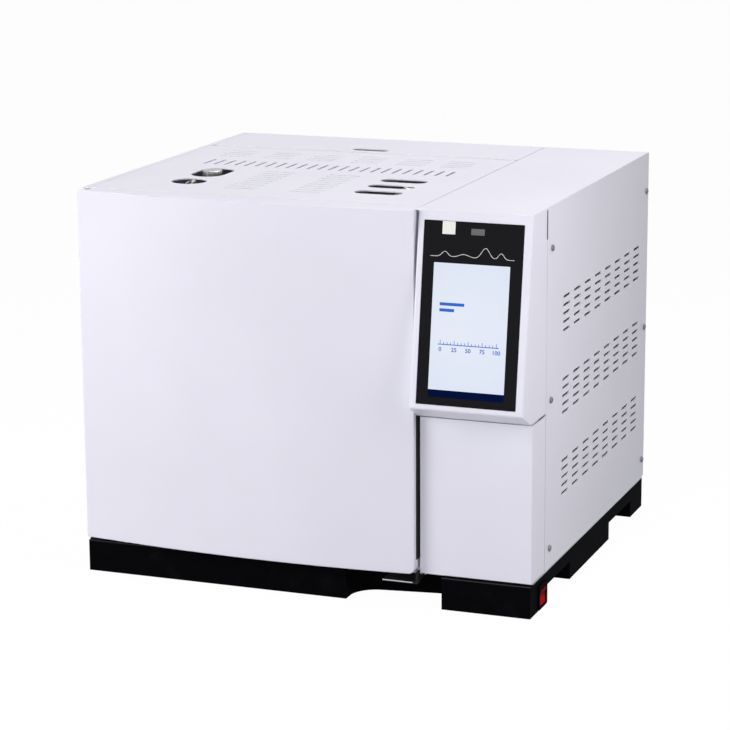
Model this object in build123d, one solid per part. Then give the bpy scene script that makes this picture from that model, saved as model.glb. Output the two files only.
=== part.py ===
from build123d import *
import math
import os

# Bench gas chromatograph: an oven with a bowed door on the left, a control tower with a
# tilted touch screen on the right, a hinged vented lid over the inlets and detectors, and a
# black plinth. All sizes are in millimetres.
#
# While the pieces are made, X runs across the front with 0 in the middle, Y runs from the
# tower's top front edge (0) to the back, and Z runs up from the table (0). At the end every
# piece is moved along Y together, so that the origin lies under the middle of the footprint.

# ------------------------------------------------------------------ driving dimensions
# Case
case_width = 580.0
case_height = 484.0
case_rear = 515.0           # back face of the rear panel
sheet = 1.5                 # thickness of the case sheets
panel_bottom = 44.0         # lower edge of the white panels
touch_gap = 0.3             # gap left where two pieces only just clear each other
seam_gap = 2.0              # visible seam between two covers
screw_head_r = 4.0
screw_head_h = 2.2
screw_bore_r = 1.9
screw_shank_gap = 0.3
screw_seat_gap = 0.05

# Plinth
base_height = 40.0
base_inset = 1.4            # plinth side, in from the case side
base_front = 5.0
base_wall = 3.0
base_edge_r = 1.2           # rounding of the plinth's upper front edge
foot_reveal = 0.5           # the rubber feet lift the plinth by this much
foot_r = 14.0
foot_height = 4.0
foot_side = 55.0            # foot centres, in from the case's sides
foot_front_y = 32.0
foot_rear_y = 487.0
recess_reach_left = 95.0    # finger recess, to either side of the tower's left edge
recess_reach_right = 27.0
recess_depth_left = 46.8
recess_depth_right = 61.0
recess_curve_w = 29.0
recess_curve_start = 16.9
notch_height = 23.0         # hand notches in the plinth's sides
notch_depth = 55.0
notches_y = ((75.0, 170.0), (350.0, 457.0))

# Rocker switch in the plinth's right side
switch_y = 51.0
switch_z = 16.5
switch_bezel = 30.0
switch_bezel_t = 2.0
switch_opening_z = 22.4
switch_opening_y = 24.4
switch_body_depth = 24.0
switch_wall = 1.4
rocker_tilt = 7.0           # degrees either side of level
rocker_half = 10.0
rocker_face = 7.5           # pivot to the tip of the face
rocker_dish = 2.0
rocker_back = 4.5
rocker_pin_r = 1.5
rocker_side_gap = 0.5
pivot_fit = 0.05            # radial running clearance of pins and shafts

# Control tower and screen hood
tower_width = 139.0
tower_front = 4.5
tower_panel_drop = 3.0      # tower front panel, below the hood's rear edge
side_seam_y = 57.0          # front edge of the vented side cover
panel_return = 30.0
hood_lip_y = -33.8          # front lower edge of the hood
hood_length = 229.2         # roof to the hood's front lower edge
hood_under_y = -2.4
hood_under_drop = 15.8      # hood's rear lower edge, below its front one
hood_wall = 3.0
hood_edge_r = 3.0
glass_width = 121.0
glass_length = 213.5
glass_start = 10.0          # top edge of the glass, down the slope
glass_left = 8.2            # left edge of the glass, in from the hood's side
glass_t = 1.8
glass_recess = 2.0
glass_ledge = 4.0
glass_corner_r = 0.8
screen_width = 92.0
screen_length = 156.0
screen_start = 59.0
screen_left = 22.3
module_border = 9.0
module_t = 5.0
screen_lift = 0.8
board_t = 1.6
board_gap = 9.0
standoff_r = 3.0
tower_top_front = 0.0
inner_flange = 14.0

# Vents in the right side
vent_groups = 3
vent_rows = 5
vent_columns = 8
vent_length = 28.0
vent_height = 3.2
vent_first_y = 138.2
vent_first_drop = 118.6     # first row, below the roof
vent_pitch_y = 45.76
vent_pitch_z = 10.17
vent_group_pitch = 101.2

# Oven
oven_depth = 242.5
oven_floor = 92.0           # bottom of the oven's liner
bay_gap_left = 24.5         # insulation to the case's left skin
bay_gap_right = 5.5         # insulation to the divider wall
liner_t = 1.5
insulation_side = 52.0
insulation_rear = 60.0
frame_y = 19.5              # front face of the oven's front frame
frame_return = 28.0
deck_drop = 80.0            # instrument deck, below the roof
deck_flange = 24.0

# Oven fan, heater and baffle
fan_r = 75.0
fan_width = 26.0
fan_blades = 12
fan_blade_inner_r = 40.0
fan_blade_t = 2.0
fan_hub_r = 12.0
fan_rear_gap = 8.0
fan_shaft_r = 4.0
shaft_hole_r = 7.0
motor_r = 50.0
motor_length = 78.0
motor_standoff = 18.0
motor_plate = 90.0
motor_plate_t = 3.0
heater_r = 95.0
heater_wire_r = 3.0
heater_turns = 3
heater_pitch = 9.0
baffle_front_gap = 44.0     # baffle to the liner's rear wall
baffle_border = 15.0
baffle_hole_r = 52.0
baffle_post_x = 100.0
baffle_post_z = 60.0

# Column and its hanger
column_r = 92.0
column_inner_r = 84.0
column_width = 24.0
column_y = 120.0
column_tube_r = 0.8
hanger_rod_r = 2.5
probe_r = 1.6
probe_length = 92.0

# Exhaust duct with its flap
duct_width = 70.0
duct_height = 56.0
duct_wall = 1.2
duct_in = 62.0              # duct centre, in from the oven's left wall and roof
duct_down = 32.0
duct_flange = 8.0
flap_y = 470.0
flap_t = 1.5
flap_gap = 0.6
flap_shaft_r = 2.5
flap_motor_size = 30.0

# Door
door_left_gap = 2.0         # door end, in from the case side
door_right_gap = 3.0        # door to tower
door_bottom = 45.0
door_top_gap = 0.3
hinge_seat_drop = 4.0       # seat of the upper hinge arm, below the case's top
door_rear = 17.0
door_left_front = 1.0       # depth of the bowed front at its left end, its crown and right end
door_crown = -17.5
door_right_front = -8.0
door_crown_shift = 35.0     # crown of the bow, right of the door's middle
door_wall = 2.0
door_edge_r = 1.2
door_corner_r = 7.0
door_rear_r = 4.0
plug_clearance = 5.0
plug_depth = 20.0
plug_t = 1.2
gasket_width = 12.0
gasket_border = 8.0
hinge_x_inset = 8.0         # hinge axis, in from the door's left end
hinge_y = 9.5
hinge_pin_r = 3.0
hinge_pin_depth = 9.0
hinge_plate_t = 1.8
hinge_plate_w = 19.0
hinge_arm_half = 4.5        # half width of the arm that carries the upper pin
hinge_leg = 40.0
hinge_washer_r = 6.0
magnet_width = 40.0
magnet_height = 14.0
magnet_z = 52.0

# Door release lever in the finger recess
lever_reach = 45.0          # lever's left end, left of the tower
lever_lip_y = -3.0
lever_z = 31.5
lever_t = 2.0
lever_pivot_y = 31.0
lever_pivot_z = 35.5
lever_ear_r = 4.0
lever_ear_t = 2.0
lever_pin_r = 2.0
lever_clearance = 1.1       # under the bracket's ears, for the lever's swing
lever_tab_top = 46.5
lever_tab_depth = 9.0
bracket_t = 2.0

# Lid and rear top cover
lid_side_gap = 8.5          # lid edge, in from the case's left side
lid_seam_gap = 3.5          # right edge of the lid, left of the tower
lid_cover_seam = 0.9        # visible seam from the lid to the side cover's top
lid_rear = 389.4
lid_seam = 5.6              # seam that the hinge barrel lies in
lid_lip = 18.5
lid_side_lip = 12.0
lid_lip_notch = 20.0
small_port_r = 22.0
small_port_y = 102.0
large_port_y = 174.5
large_port_size = (43.0, 71.0)
slot_port_size = (60.5, 25.5)
slot_port_in = 25.5         # slotted ports, in from the oven's right wall
slot_ports_y = (95.6, 141.3, 186.0)
rear_port_shift = -3.5
rear_port_y = 417.0
rear_port_size = (50.0, 16.0)
rib_slot_start = 55.5       # first and last rib slots, in from the lid's edges
rib_slot_end = 45.0
rib_slot_pitch = 14.28
rib_slot_y = 257.0
rib_slot_size = (3.4, 39.0)
louver_size = (38.0, 2.8)
louver_pitch = 14.7
louver_row_start = 65.5
louver_row_end = 58.0
louver_row_step = 61.0
louver_row_y = 309.5
louver_row_count = 4
louver_panel_shift = (-44.0, 41.5)
louver_panel_y = 71.0
louver_panel_count = 10
louver_panel_size = (40.0, 2.8)

# Lid hinge
knuckle_r = 2.4
knuckle_pin_r = 1.2
knuckle_drop = 2.8
knuckle_length = 38.0
knuckle_gap = 0.5
leaf_t = 1.2
leaf_width = 12.0

# Inlet, detectors and their tubes
inlet_in = 26.5             # inlet, in from the oven's left wall
inlet_y = 174.0
inlet_r = 8.0
inlet_neck_r = 6.9
inlet_neck_length = 14.0
inlet_flange_r = 20.0
inlet_flange_t = 3.5
inlet_nose = 16.0           # how far inlet and detectors reach down into the oven
port_clearance = 1.0
nut_r = 12.4
nut_proud = 3.2             # septum nut, above the lid
nut_flutes = 24
nut_flute_r = 0.7
needle_hole_r = 1.2
block_size = 44.0
block_drop = 22.0
fid_in = 13.0               # detectors, in from the oven's right wall
fid_y = 158.0
fid_r = 13.5
fid_base_r = 18.0
fid_base_drop = 54.0
fid_top_drop = 6.0
tcd_in = 47.0
tcd_y = 92.0
tcd_size = (56.0, 48.0, 42.0)
gas_line_r = 3.0
gas_line_foot_out = 13.5    # foot and end of the gas line, left of the inlet
gas_line_foot_y = 131.0
gas_line_end_out = 16.5
gas_line_end_y = 158.0
gas_line_drop = 9.0
gas_line_bend = 10.0

# Electronics, gas control and rear fittings
main_board_y = (90.0, 430.0)
main_board_floor = 110.0
main_board_drop = 154.0
main_board_gap = 7.0
supply_size = (90.0, 170.0, 54.0)
supply_y = 330.0
manifold_size = (90.0, 150.0, 34.0)
manifold_y = 82.0
valve_r = 11.0
valve_height = 42.0
valves = 4
gas_inlets = 3
gas_inlet_pitch = 28.0
gas_inlet_side = 108.0      # rear fittings, in from the case's right side
gas_inlet_drop = 194.0
gas_fitting_r = 6.5
gas_tube_r = 1.6
gas_fitting_length = 19.0
fan_frame = 92.0
fan_frame_t = 25.0
fan_frame_side = 74.0
fan_frame_drop = 84.0
rotor_r = 40.0
rotor_hub_r = 17.0
rotor_blades = 7
rotor_pin_r = 2.5
grille_rings = 6
grille_slot = 4.0
power_inlet_side = 54.0
power_inlet_z = 130.0
power_inlet_size = (48.0, 27.5)
power_socket_size = (24.0, 16.5)
power_socket_depth = 17.0
ports_side = 54.0
ports_z = 200.0
motor_vent_slots = 9
motor_vent_size = (90.0, 4.0)
motor_vent_pitch = 11.0
post_width = 22.0
wall_hole_z = 180.0         # lower cable hole in the divider wall
wall_hole_rise = 36.0       # upper cable hole, above the instrument deck
side_screw_drop = 50.2      # top and bottom rows of the case screws
side_screw_floor = 68.3
rear_screw_drop = 44.0
rear_screw_floor = 60.0

# ------------------------------------------------------------------ derived places
half_width = case_width / 2
skin = half_width - sheet               # inner face of the side sheets
roof = case_height - sheet              # underside of the top sheets
pan_top = base_height + sheet           # top face of the floor pan
rear_skin = case_rear - sheet           # inner face of the rear panel
tower_left = half_width - tower_width
foot_x = half_width - foot_side
recess_left = tower_left - recess_reach_left
recess_right = tower_left + recess_reach_right
lever_left = tower_left - lever_reach
hood_lip_z = case_height - hood_length
hood_under_z = hood_lip_z - hood_under_drop
tower_panel_top = hood_under_z - tower_panel_drop
vent_first_z = case_height - vent_first_drop
deck_z = case_height - deck_drop
wall_left = tower_left - sheet          # the wall between oven bay and tower bay
door_left = -half_width + door_left_gap
door_right = tower_left - door_right_gap
door_top = case_height - door_top_gap
hinge_seat_z = case_height - hinge_seat_drop
door_fill_top = hinge_seat_z - door_wall    # top of the door's rear opening
door_crown_x = (door_left + door_right) / 2 + door_crown_shift
hinge_x = door_left + hinge_x_inset
lid_left = -half_width + lid_side_gap
lid_front = frame_y
lid_seam_x = tower_left - lid_seam_gap
frame_top = roof - lid_lip - touch_gap
cover_front = lid_rear + lid_seam
knuckle_y = lid_rear + lid_seam / 2
liner_front = frame_y + sheet
liner_rear = liner_front + oven_depth
fan_rear = liner_rear - fan_rear_gap
insulation_back = liner_rear + liner_t + insulation_rear
oven_left = -skin + bay_gap_left + insulation_side
oven_right = wall_left - bay_gap_right - insulation_side
oven_width = oven_right - oven_left
oven_x = (oven_left + oven_right) / 2
oven_roof = deck_z - insulation_side
oven_height = oven_roof - oven_floor
oven_z = (oven_roof + oven_floor) / 2
duct_x = oven_left + duct_in
duct_z = oven_roof - duct_down
nose_z = oven_roof - inlet_nose
deck_top = deck_z + sheet
deck_ceiling = deck_z - touch_gap       # top of the insulation
inlet_x = oven_left + inlet_in
inlet_neck_z = case_height
inlet_shoulder_z = inlet_neck_z - inlet_neck_length
nut_top_z = case_height + nut_proud
block_top_z = case_height - block_drop
knuckle_z = case_height - knuckle_drop
small_port = (inlet_x + 0.5, small_port_y)
large_port = (inlet_x, large_port_y)
slot_port_x = oven_right - slot_port_in
rear_port = (oven_x + rear_port_shift, rear_port_y)
rib_slot_first_x = lid_left + rib_slot_start
rib_slots = int((lid_seam_x - rib_slot_end - rib_slot_first_x) / rib_slot_pitch) + 1
louver_first_x = lid_left + louver_row_start
louver_columns = int((lid_seam_x - louver_row_end - louver_first_x) / louver_row_step) + 1
louver_row_x = [louver_first_x + louver_row_step * i for i in range(louver_columns)]
louver_panel_x = [oven_x + shift for shift in louver_panel_shift]
fid_x = oven_right - fid_in
fid_base_z = case_height - fid_base_drop
fid_top_z = case_height - fid_top_drop
tcd_x = oven_right - tcd_in
gas_line_foot = (inlet_x - gas_line_foot_out, gas_line_foot_y)
gas_line_end = (inlet_x - gas_line_end_out, gas_line_end_y)
gas_line_top = case_height - gas_line_drop
main_board_z = (main_board_floor, case_height - main_board_drop)
gas_inlet_x = half_width - gas_inlet_side
gas_inlet_z = case_height - gas_inlet_drop
fan_frame_x = half_width - fan_frame_side
fan_frame_z = case_height - fan_frame_drop
power_inlet_x = half_width - power_inlet_side
ports_x = half_width - ports_side
hood_slope = math.atan2(-hood_lip_y, roof - hood_lip_z)


# ------------------------------------------------------------------ small helpers
def block(x0, x1, y0, y1, z0, z1):
    """Box between two corners."""
    return Pos((x0 + x1) / 2, (y0 + y1) / 2, (z0 + z1) / 2) * Box(x1 - x0, y1 - y0, z1 - z0)


def rod_x(x0, x1, y, z, r):
    return Pos((x0 + x1) / 2, y, z) * Rot(0, 90, 0) * Cylinder(r, x1 - x0)


def rod_y(x, y0, y1, z, r):
    return Pos(x, (y0 + y1) / 2, z) * Rot(90, 0, 0) * Cylinder(r, y1 - y0)


def rod_z(x, y, z0, z1, r):
    return Pos(x, y, (z0 + z1) / 2) * Cylinder(r, z1 - z0)


def slot_z(x, y, size_x, size_y, z0, z1):
    """Round-ended slot through a level sheet, long in X or in Y."""
    long_side, short_side = max(size_x, size_y), min(size_x, size_y)
    turn = 0 if size_x >= size_y else 90
    face = Pos(x, y, z0) * Rot(0, 0, turn) * SlotOverall(long_side, short_side)
    return extrude(face, z1 - z0, dir=(0, 0, 1))


def ring_y(x, z, y0, y1, outer_r, inner_r):
    return rod_y(x, y0, y1, z, outer_r) - rod_y(x, y0 - 1, y1 + 1, z, inner_r)


def tube(points, radius, bend):
    """Round bar along straight runs joined by tangent arcs."""
    path = FilletPolyline(*points, radius=bend)
    section = Plane(origin=path @ 0, z_dir=path % 0) * Circle(radius)
    return sweep(section, path=path)


def hood_plane(down, across, depth):
    """Plane on the hood's sloping face: down the slope, across from its left side, and in."""
    s, c = math.sin(hood_slope), math.cos(hood_slope)
    outward = Vector(0, -c, s)
    down_dir = Vector(0, -s, -c)
    start = Vector(tower_left + across, tower_top_front, roof)
    return Plane(origin=start + down_dir * down - outward * depth, x_dir=(1, 0, 0), z_dir=outward)


def hood_block(down, across, length, width, depth0, depth1, corner_r=0.0):
    """Block lying in the hood's slope; depth runs inwards from the sloping face."""
    face = RectangleRounded(width, length, corner_r) if corner_r else Rectangle(width, length)
    plane = hood_plane(down + length / 2, across + width / 2, depth1)
    return extrude(plane * face, depth1 - depth0, dir=plane.z_dir)


# ------------------------------------------------------------------ plinth
def plinth_face():
    side = half_width - base_inset
    with BuildSketch() as sketch:
        with BuildLine():
            Polyline((-side, case_rear), (-side, base_front), (recess_left, base_front),
                     (recess_left, base_front + recess_curve_start))
            ThreePointArc((recess_left, base_front + recess_curve_start),
                          (recess_left + recess_curve_w * 0.43, base_front + recess_depth_left * 0.85),
                          (recess_left + recess_curve_w, base_front + recess_depth_left))
            Polyline((recess_left + recess_curve_w, base_front + recess_depth_left),
                     (recess_right, base_front + recess_depth_right), (recess_right, base_front),
                     (side, base_front), (side, case_rear), (-side, case_rear))
        make_face()
    return sketch.sketch


def base_plinth():
    side = half_width - base_inset
    inner_face = offset(plinth_face(), -base_wall, kind=Kind.INTERSECTION)
    shell = Pos(0, 0, foot_reveal) * extrude(plinth_face(), base_height - foot_reveal)
    front = [edge for edge in shell.edges().filter_by(Axis.X)
             if edge.center().Z > base_height - 1 and edge.center().Y < base_front + 1]
    shell = fillet(front, base_edge_r)
    pocket = extrude(inner_face, base_height - base_wall)
    for y0, y1 in notches_y:
        for sign in (-1, 1):
            low, high = sorted((sign * (side - notch_depth), sign * (side + 1)))
            shell -= block(low, high, y0, y1, 0, notch_height)
            pocket -= block(low - base_wall, high + base_wall, y0 - base_wall, y1 + base_wall,
                            0, notch_height + base_wall)
    shell -= pocket
    for x, y in foot_places():
        shell += rod_z(x, y, foot_reveal, base_height - base_wall / 2, foot_r + base_wall)
        shell -= rod_z(x, y, 0, foot_height, foot_r)
    opening_y = switch_opening_y / 2 + switch_wall + touch_gap
    opening_z = switch_opening_z / 2 + switch_wall + touch_gap
    shell -= block(side - base_wall - 1, side + 1, switch_y - opening_y, switch_y + opening_y,
                   switch_z - opening_z, switch_z + opening_z)
    return shell


def foot_places():
    return [(x, y) for y in (foot_front_y, foot_rear_y) for x in (-foot_x, foot_x)]


def rubber_feet():
    return [rod_z(x, y, 0, foot_height, foot_r) for x, y in foot_places()]


# ------------------------------------------------------------------ rocker switch
def switch_pivot_x():
    tilt = math.radians(rocker_tilt)
    reach = rocker_face * math.cos(tilt) + rocker_half * math.sin(tilt)
    return half_width + screw_head_h - touch_gap - reach


def rocker_bezel():
    side = half_width - base_inset
    half = switch_bezel / 2
    open_y, open_z = switch_opening_y / 2, switch_opening_z / 2
    wall_y, wall_z = open_y + switch_wall, open_z + switch_wall
    back = side - switch_body_depth
    housing = block(side, side + switch_bezel_t, switch_y - half, switch_y + half,
                    switch_z - half + foot_reveal, switch_z + half)
    housing += block(back, side, switch_y - wall_y, switch_y + wall_y,
                     switch_z - wall_z, switch_z + wall_z)
    housing -= block(back + switch_wall, side + switch_bezel_t + 1, switch_y - open_y,
                     switch_y + open_y, switch_z - open_z, switch_z + open_z)
    pin = rod_y(switch_pivot_x(), switch_y - wall_y, switch_y + wall_y, switch_z, rocker_pin_r)
    return housing + pin


def power_rocker():
    face = rocker_face
    with BuildSketch(Plane.XZ) as sketch:
        with BuildLine():
            Polyline((face, rocker_half), (face - rocker_dish, 0), (face, -rocker_half),
                     (0, -rocker_half), (-rocker_back, -rocker_half / 2),
                     (-rocker_back, rocker_half / 2), (0, rocker_half), (face, rocker_half))
        make_face()
    width = switch_opening_y - 2 * rocker_side_gap
    body = extrude(sketch.sketch, width / 2, both=True)
    body -= rod_y(0, -width, width, 0, rocker_pin_r + pivot_fit)
    return Pos(switch_pivot_x(), switch_y, switch_z) * Rot(0, rocker_tilt, 0) * body


# ------------------------------------------------------------------ chassis and covers
def floor_pan():
    pan = block(-skin, skin, frame_y - 5, rear_skin, base_height, pan_top)
    flange_top = pan_top + inner_flange
    for sign in (-1, 1):
        low, high = sorted((sign * skin, sign * (skin - sheet)))
        front = frame_y + sheet + touch_gap if sign < 0 else side_seam_y + post_width + sheet
        pan += block(low, high, front + frame_return * (sign < 0), rear_skin - post_width - sheet,
                     pan_top - sheet / 2, flange_top)
    return pan


def corner_post(x_side, y_near, y_far, leg_at_far):
    """Angle post against a side sheet; its second leg is at the near or the far end."""
    low, high = sorted((x_side * skin, x_side * (skin - sheet)))
    leg_low, leg_high = sorted((x_side * skin, x_side * (skin - post_width)))
    leg_y = y_far - sheet if leg_at_far else y_near
    post = block(low, high, y_near, y_far, pan_top, roof - touch_gap)
    return post + block(leg_low, leg_high, leg_y, leg_y + sheet, pan_top, roof - touch_gap)


def front_right_post():
    start = side_seam_y - 0.8
    return corner_post(1, start, start + post_width + sheet, False) - screw_bores()


def rear_left_post():
    return corner_post(-1, rear_skin - post_width, rear_skin, True) - screw_bores()


def rear_right_post():
    return corner_post(1, rear_skin - post_width, rear_skin, True) - screw_bores()


def side_screw_places():
    """Depth and height of each screw in the side sheets."""
    column_front = side_seam_y + 18.0
    column_rear = rear_skin - 9.0
    top, bottom = case_height - side_screw_drop, side_screw_floor
    rows = (top, (top + bottom) / 2, bottom)
    return [(y, z) for z in rows for y in (column_front, column_rear)]


def rear_screw_places():
    top, bottom = case_height - rear_screw_drop, rear_screw_floor
    rows = (bottom, (top + bottom) / 2, top)
    return [(x, z) for z in rows for x in (-half_width + 14, half_width - 14)]


def screw_bores():
    bores = []
    for y, z in side_screw_places():
        for sign in (-1, 1):
            low, high = sorted((sign * (half_width - 12), sign * (half_width + 1)))
            bores.append(rod_x(low, high, y, z, screw_bore_r))
    for x, z in rear_screw_places():
        bores.append(rod_y(x, case_rear - 12, case_rear + 1, z, screw_bore_r))
    return bores


def screw_head(place, turn):
    """Pan head with a cross recess, and its short shank."""
    dome = Cylinder(screw_head_r, screw_head_h, align=(Align.CENTER, Align.CENTER, Align.MIN))
    dome = fillet(dome.edges().sort_by(Axis.Z)[-1], screw_head_h * 0.6)
    recess = Box(screw_head_r, 0.9, 1.4) + Box(0.9, screw_head_r, 1.4)
    dome -= Pos(0, 0, screw_head_h) * recess
    shank = Cylinder(screw_bore_r - screw_shank_gap, 6, align=(Align.CENTER, Align.CENTER, Align.MAX))
    return Pos(*place) * turn * Pos(0, 0, screw_seat_gap) * (dome + shank)


def case_screws():
    screws = []
    for y, z in side_screw_places():
        screws.append(screw_head((half_width, y, z), Rot(0, 90, 0)))
        screws.append(screw_head((-half_width, y, z), Rot(0, -90, 0)))
    for x, z in rear_screw_places():
        screws.append(screw_head((x, case_rear, z), Rot(-90, 0, 0)))
    return screws


def left_side_panel():
    panel = block(-half_width, -skin, frame_y, rear_skin, panel_bottom, roof)
    panel += block(-half_width, lid_left - 0.5, frame_y, case_rear, roof, case_height)
    return panel - screw_bores()


def right_cover():
    cover = block(skin, half_width, side_seam_y, rear_skin, panel_bottom, roof)
    top_left = lid_seam_x + lid_cover_seam
    top = block(top_left, half_width, tower_top_front, case_rear, roof, case_height)
    edge = top.edges().filter_by(Axis.X).sort_by(Axis.Y)[0:2].sort_by(Axis.Z)[-1]
    cover += fillet(edge, sheet * 0.5)
    cutters = []
    for group in range(vent_groups):
        for row in range(vent_rows):
            z = vent_first_z - group * vent_group_pitch - row * vent_pitch_z
            for column in range(vent_columns):
                y = vent_first_y + column * vent_pitch_y
                slot = Plane.YZ * Pos(y, z) * SlotOverall(vent_length, vent_height)
                cutters.append(Pos(skin - 1, 0, 0) * extrude(slot, sheet + 2))
    return cover - cutters - screw_bores()


def tower_front_panel():
    right_return = side_seam_y - sheet
    panel = block(tower_left, half_width, tower_front, tower_front + sheet,
                  panel_bottom, tower_panel_top)
    panel += block(tower_left, tower_left + sheet, tower_front, tower_front + panel_return,
                   panel_bottom, tower_panel_top)
    panel += block(skin, half_width, tower_front, right_return, panel_bottom, tower_panel_top)
    for z in (panel_bottom, tower_panel_top - sheet):
        panel += block(tower_left, half_width, tower_front, tower_front + panel_return, z, z + sheet)
    edge = panel.edges().filter_by(Axis.Z).group_by(Axis.Y)[0]
    return fillet(edge, sheet * 0.6)


def divider_wall():
    wall = block(wall_left, tower_left, liner_front, rear_skin, pan_top, roof - touch_gap)
    for z in (wall_hole_z, deck_z + wall_hole_rise):
        wall -= rod_x(wall_left - 1, tower_left + 1, rear_skin - 60, z, 15)
    return wall


def rear_top_cover():
    cover = block(lid_left, lid_seam_x, cover_front, case_rear, roof, case_height)
    side_lip_rear = rear_skin - post_width - touch_gap
    for x in (lid_left, lid_seam_x - sheet):
        cover += block(x, x + sheet, cover_front + leaf_width + 2, side_lip_rear,
                       roof - lid_side_lip, roof + sheet / 2)
    return cover - slot_z(*rear_port, *rear_port_size, roof - 1, case_height + 1)


def rear_panel():
    panel = block(-half_width, half_width, rear_skin, case_rear, panel_bottom, roof)
    half_w, half_h = duct_width / 2 + touch_gap, duct_height / 2 + touch_gap
    panel -= block(duct_x - half_w, duct_x + half_w, rear_skin - 1, case_rear + 1,
                   duct_z - half_h, duct_z + half_h)
    cutters = []
    for index in range(motor_vent_slots):
        z = oven_z + (index - (motor_vent_slots - 1) / 2) * motor_vent_pitch
        slot = Plane.XZ * Pos(oven_x, z) * SlotOverall(*motor_vent_size)
        cutters.append(Pos(0, case_rear + 1, 0) * extrude(slot, sheet + 2))
    for ring in range(grille_rings):
        outer = rotor_r * (ring + 1) / grille_rings + 2
        cutters.append(ring_y(fan_frame_x, fan_frame_z, rear_skin - 1, case_rear + 1,
                              outer, outer - grille_slot))
    spokes = Box(2 * rotor_r + 10, 3 * sheet, 2.4) + Box(2.4, 3 * sheet, 2 * rotor_r + 10)
    spokes = Pos(fan_frame_x, rear_skin, fan_frame_z) * Rot(0, 45, 0) * spokes
    cutters[-grille_rings:] = [cutter - spokes for cutter in cutters[-grille_rings:]]
    for x in gas_inlet_places():
        cutters.append(rod_y(x, rear_skin - 1, case_rear + 1, gas_inlet_z, gas_fitting_r - 2))
    width, height = power_inlet_size
    cutters.append(block(power_inlet_x - width / 2 + 2, power_inlet_x + width / 2 - 2, rear_skin - 1,
                         case_rear + 1, power_inlet_z - height / 2 + 2, power_inlet_z + height / 2 - 2))
    for x, z, port_w, port_h in port_places():
        cutters.append(block(x - port_w / 2, x + port_w / 2, rear_skin - 1, case_rear + 1,
                             z - port_h / 2, z + port_h / 2))
    return panel - cutters - screw_bores()


# ------------------------------------------------------------------ screen hood
def hood_profile():
    rear = side_seam_y - 1.0
    with BuildSketch(Plane.YZ) as sketch:
        with BuildLine():
            Polyline((rear, roof), (tower_top_front, roof), (hood_lip_y, hood_lip_z),
                     (hood_under_y, hood_under_z), (rear, hood_under_z), (rear, roof))
        make_face()
    return sketch.sketch


def display_hood():
    rear = side_seam_y - 1.0
    hood = Pos(tower_left, 0, 0) * extrude(hood_profile(), tower_width)
    front = hood.faces().sort_by_distance(hood_plane(glass_length / 2, tower_width / 2, 0).origin)[0]
    upright = [edge for edge in front.edges() if abs(edge.tangent_at(0.5).X) < 0.5]
    lip = front.edges().sort_by(Axis.Z)[0]
    hood = fillet([*upright, lip], hood_edge_r)
    inner = offset(hood_profile(), -hood_wall, kind=Kind.INTERSECTION)
    cavity = Pos(tower_left + hood_wall, 0, 0) * extrude(inner, tower_width - 2 * hood_wall)
    cavity += block(tower_left + hood_wall, half_width - hood_wall, rear - 2 * hood_wall, rear + 1,
                    hood_under_z + hood_wall, roof - hood_wall)
    hood -= cavity
    hood -= hood_block(glass_start - touch_gap, glass_left - touch_gap, glass_length + 2 * touch_gap,
                       glass_width + 2 * touch_gap, -1, glass_recess, glass_corner_r + touch_gap)
    hood -= hood_block(glass_start + glass_ledge, glass_left + glass_ledge,
                       glass_length - 2 * glass_ledge, glass_width - 2 * glass_ledge, 0,
                       hood_wall + 1)
    return hood


def control_glass():
    return hood_block(glass_start, glass_left, glass_length, glass_width,
                      glass_recess - glass_t, glass_recess, glass_corner_r)


def display_module():
    case = hood_block(screen_start - module_border, glass_left + 1,
                      screen_length + 2 * module_border, glass_width - 2, hood_wall + 0.05,
                      hood_wall + module_t)
    return case + hood_block(screen_start - 2, screen_left - 2, screen_length + 4, screen_width + 4,
                             hood_wall - screen_lift, hood_wall + module_t / 2)


def control_board():
    near = hood_wall + module_t + board_gap
    board = hood_block(screen_start, screen_left - 6, screen_length, screen_width + 12,
                       near, near + board_t)
    for down in (screen_start + 8, screen_start + screen_length - 8):
        for across in (screen_left, screen_left + screen_width):
            plane = hood_plane(down, across, near + board_t / 2)
            board += extrude(plane * Circle(standoff_r), board_gap + board_t / 2, dir=plane.z_dir)
    board += hood_block(screen_start + 50, screen_left + 20, 28, 28, near + board_t / 2,
                        near + board_t + 2.5)
    return board


# ------------------------------------------------------------------ oven
def oven_opening(y0, y1, grow=0.0):
    return block(oven_left - grow, oven_right + grow, y0, y1,
                 oven_z - oven_height / 2 - grow, oven_roof + grow)


def oven_front_frame():
    frame = block(-skin, wall_left, frame_y, liner_front, pan_top, frame_top)
    frame += block(-skin, -skin + sheet, frame_y, liner_front + frame_return, pan_top, frame_top)
    frame += block(-skin, wall_left, frame_y, liner_front + frame_return, frame_top - sheet, frame_top)
    return frame - oven_opening(frame_y - 1, liner_front + 1)


def through_ports(radius_gain, z0, z1):
    """Bores for the inlet and the two detectors."""
    return [rod_z(x, y, z0, z1, inlet_r + radius_gain)
            for x, y in ((inlet_x, inlet_y), (fid_x, fid_y), (tcd_x, tcd_y))]


def oven_liner():
    liner = oven_opening(liner_front, liner_rear + liner_t, liner_t)
    liner -= oven_opening(liner_front - 1, liner_rear)
    liner -= rod_y(oven_x, liner_rear - 1, liner_rear + liner_t + 1, oven_z, shaft_hole_r)
    half_w, half_h = duct_width / 2 - duct_wall, duct_height / 2 - duct_wall
    liner -= block(duct_x - half_w, duct_x + half_w, liner_rear - 1, liner_rear + liner_t + 1,
                   duct_z - half_h, duct_z + half_h)
    return liner - through_ports(port_clearance, oven_roof - 1, oven_roof + liner_t + 1)


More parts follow.
